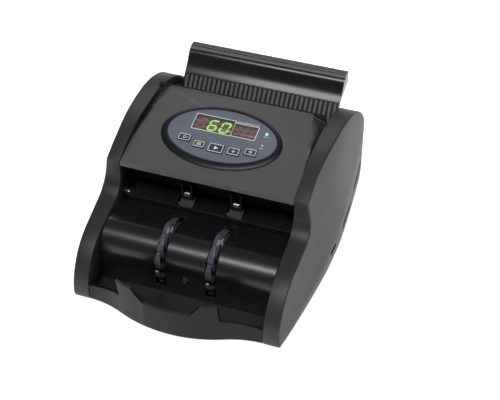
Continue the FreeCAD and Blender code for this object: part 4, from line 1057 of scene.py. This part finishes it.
def lid_rim_and_gap_shadow():
    """The straight black rim behind the lid, which also paints the shadow of the gap there, and the tapering
    black strips down both of its sides, which paint the shadow in the gaps beside the lid.
    """
    bm = bmesh.new()
    front, rear = LID_HIGH - RIM_OVERLAP, LID_HIGH + RIM_BEHIND
    high, low = LID_HIGH_LEVEL, LID_HIGH_LEVEL - RIM_DEPTH
    rim = [(front, low), (front, high - RIM_EDGE), (front + RIM_EDGE, high), (rear - RIM_EDGE, high),
           (rear, high - RIM_EDGE), (rear, low), (front, low)]
    strips(bm, [[at(x, back, level) for x in (-FACET_OUT, 0, FACET_OUT)] for back, level in rim])
    # Tapering strips on the bevels that paint the shadow of the side gaps.
    for side in (-1, 1):
        stops = line_points((GAP_SHADOW_START, 0), (LID_HIGH, 0), GAP_SHADOW_PITCH)
        rows = []
        for share, lift in GAP_SHADOW_SECTION:
            row = []
            for back, _ in stops:
                x = FACET_OUT - GAP_SHADOW_WIDE * share * min(1, (back - GAP_SHADOW_START) / GAP_SHADOW_TAPER)
                row.append(at(side * x, back, facet_level(x, back) + lift))
            rows.append(row)
        strips(bm, rows)
    close_up(bm)
    rim_and_shadow = new_piece("lid_rim_and_gap_shadow_strips", bm, RIM_AND_GAP_SHADOW)
    keep_sharp(rim_and_shadow, 40)


def lid_bevel_facings():
    """Thin dark facings on the lid's two side bevels."""
    bm = bmesh.new()
    corners = [(FACET_OUT - 0.15, FACET_START + 1.5), (FACET_OUT - 0.15, LID_HIGH - 1.9),
               (FACET_IN + 0.7, LID_HIGH - 1.9)]
    for side in (-1, 1):
        filled(bm, corners, [], lambda x, back, side=side:
               at(side * x, back, min(LID_HIGH_LEVEL, facet_level(x, back) + FACING_PROUD)))
    turn_up(bm)
    thicken(new_piece("lid_bevel_facings", bm, FACING), FACING_THICK)


lid_rim_and_gap_shadow()
lid_bevel_facings()


# ---------------------------------------------------------------- carried-over nodes

# Finish, edge radius, steps of the rounding, nodes.
NODE_FINISHES = [
    (APRON, 1.1, 3, ["front_apron"]),
    (LID, 1.0, 3, ["front_cover"]),
    (GLOSS, 0.8, 3, ["stacker_cover"]),
    (CHUTE, 0.5, 2, ["hopper_chute"]),
    (CASE, 0.6, 2, ["rear_cover", "base_tray"]),
    (FILM, 0.1, 1, ["panel_overlay"]),
    # The inner parts take a darker black that also paints the shade inside the mouth.
    (INNER_BLACK_AND_SHADE, 0.4, 2, ["lower_guide", "upper_guide", "separation_bracket", "note_sensors", "gap_knob"]),
    (BEZEL, 0.4, 2, ["power_inlet", "switch_frame", "power_rocker"]),
    (STEEL, 0.2, 1, ["left_frame", "right_frame", "tie_bars", "stacker_shaft", "exit_shaft",
                     "transport_shaft", "feed_shaft", "pickup_shaft", "motor_shaft"]),
    (SCREW, 0.2, 2, ["case_screws"]),
    (BRONZE, 0.2, 1, ["shaft_bushes"]),
    (RUBBER, 0.5, 2, ["exit_rollers", "transport_rollers", "feed_rollers", "pickup_rollers",
                      "separation_roller", "rubber_feet"]),
    (NYLON, 0.3, 2, ["motor_pulley", "feed_pulley", "pickup_pulley", "transport_pulley", "exit_pulley",
                     "stacker_pulley"]),
    (BELT, 0.15, 1, ["feed_belt", "main_belt", "stacker_belt"]),
    (CAN, 0.8, 3, ["drive_motor"]),
    (CHROME, 0.4, 2, ["pinch_rollers"]),
    (LAMINATE, 0.15, 1, ["control_board", "main_board"]),
    (CORE, 0.8, 2, ["transformer"]),
    (GLASS, 0.3, 2, ["uv_lamp"]),
]
for material, radius, segments, nodes in NODE_FINISHES:
    for node in nodes:
        finish_node(node, material, radius, segments)
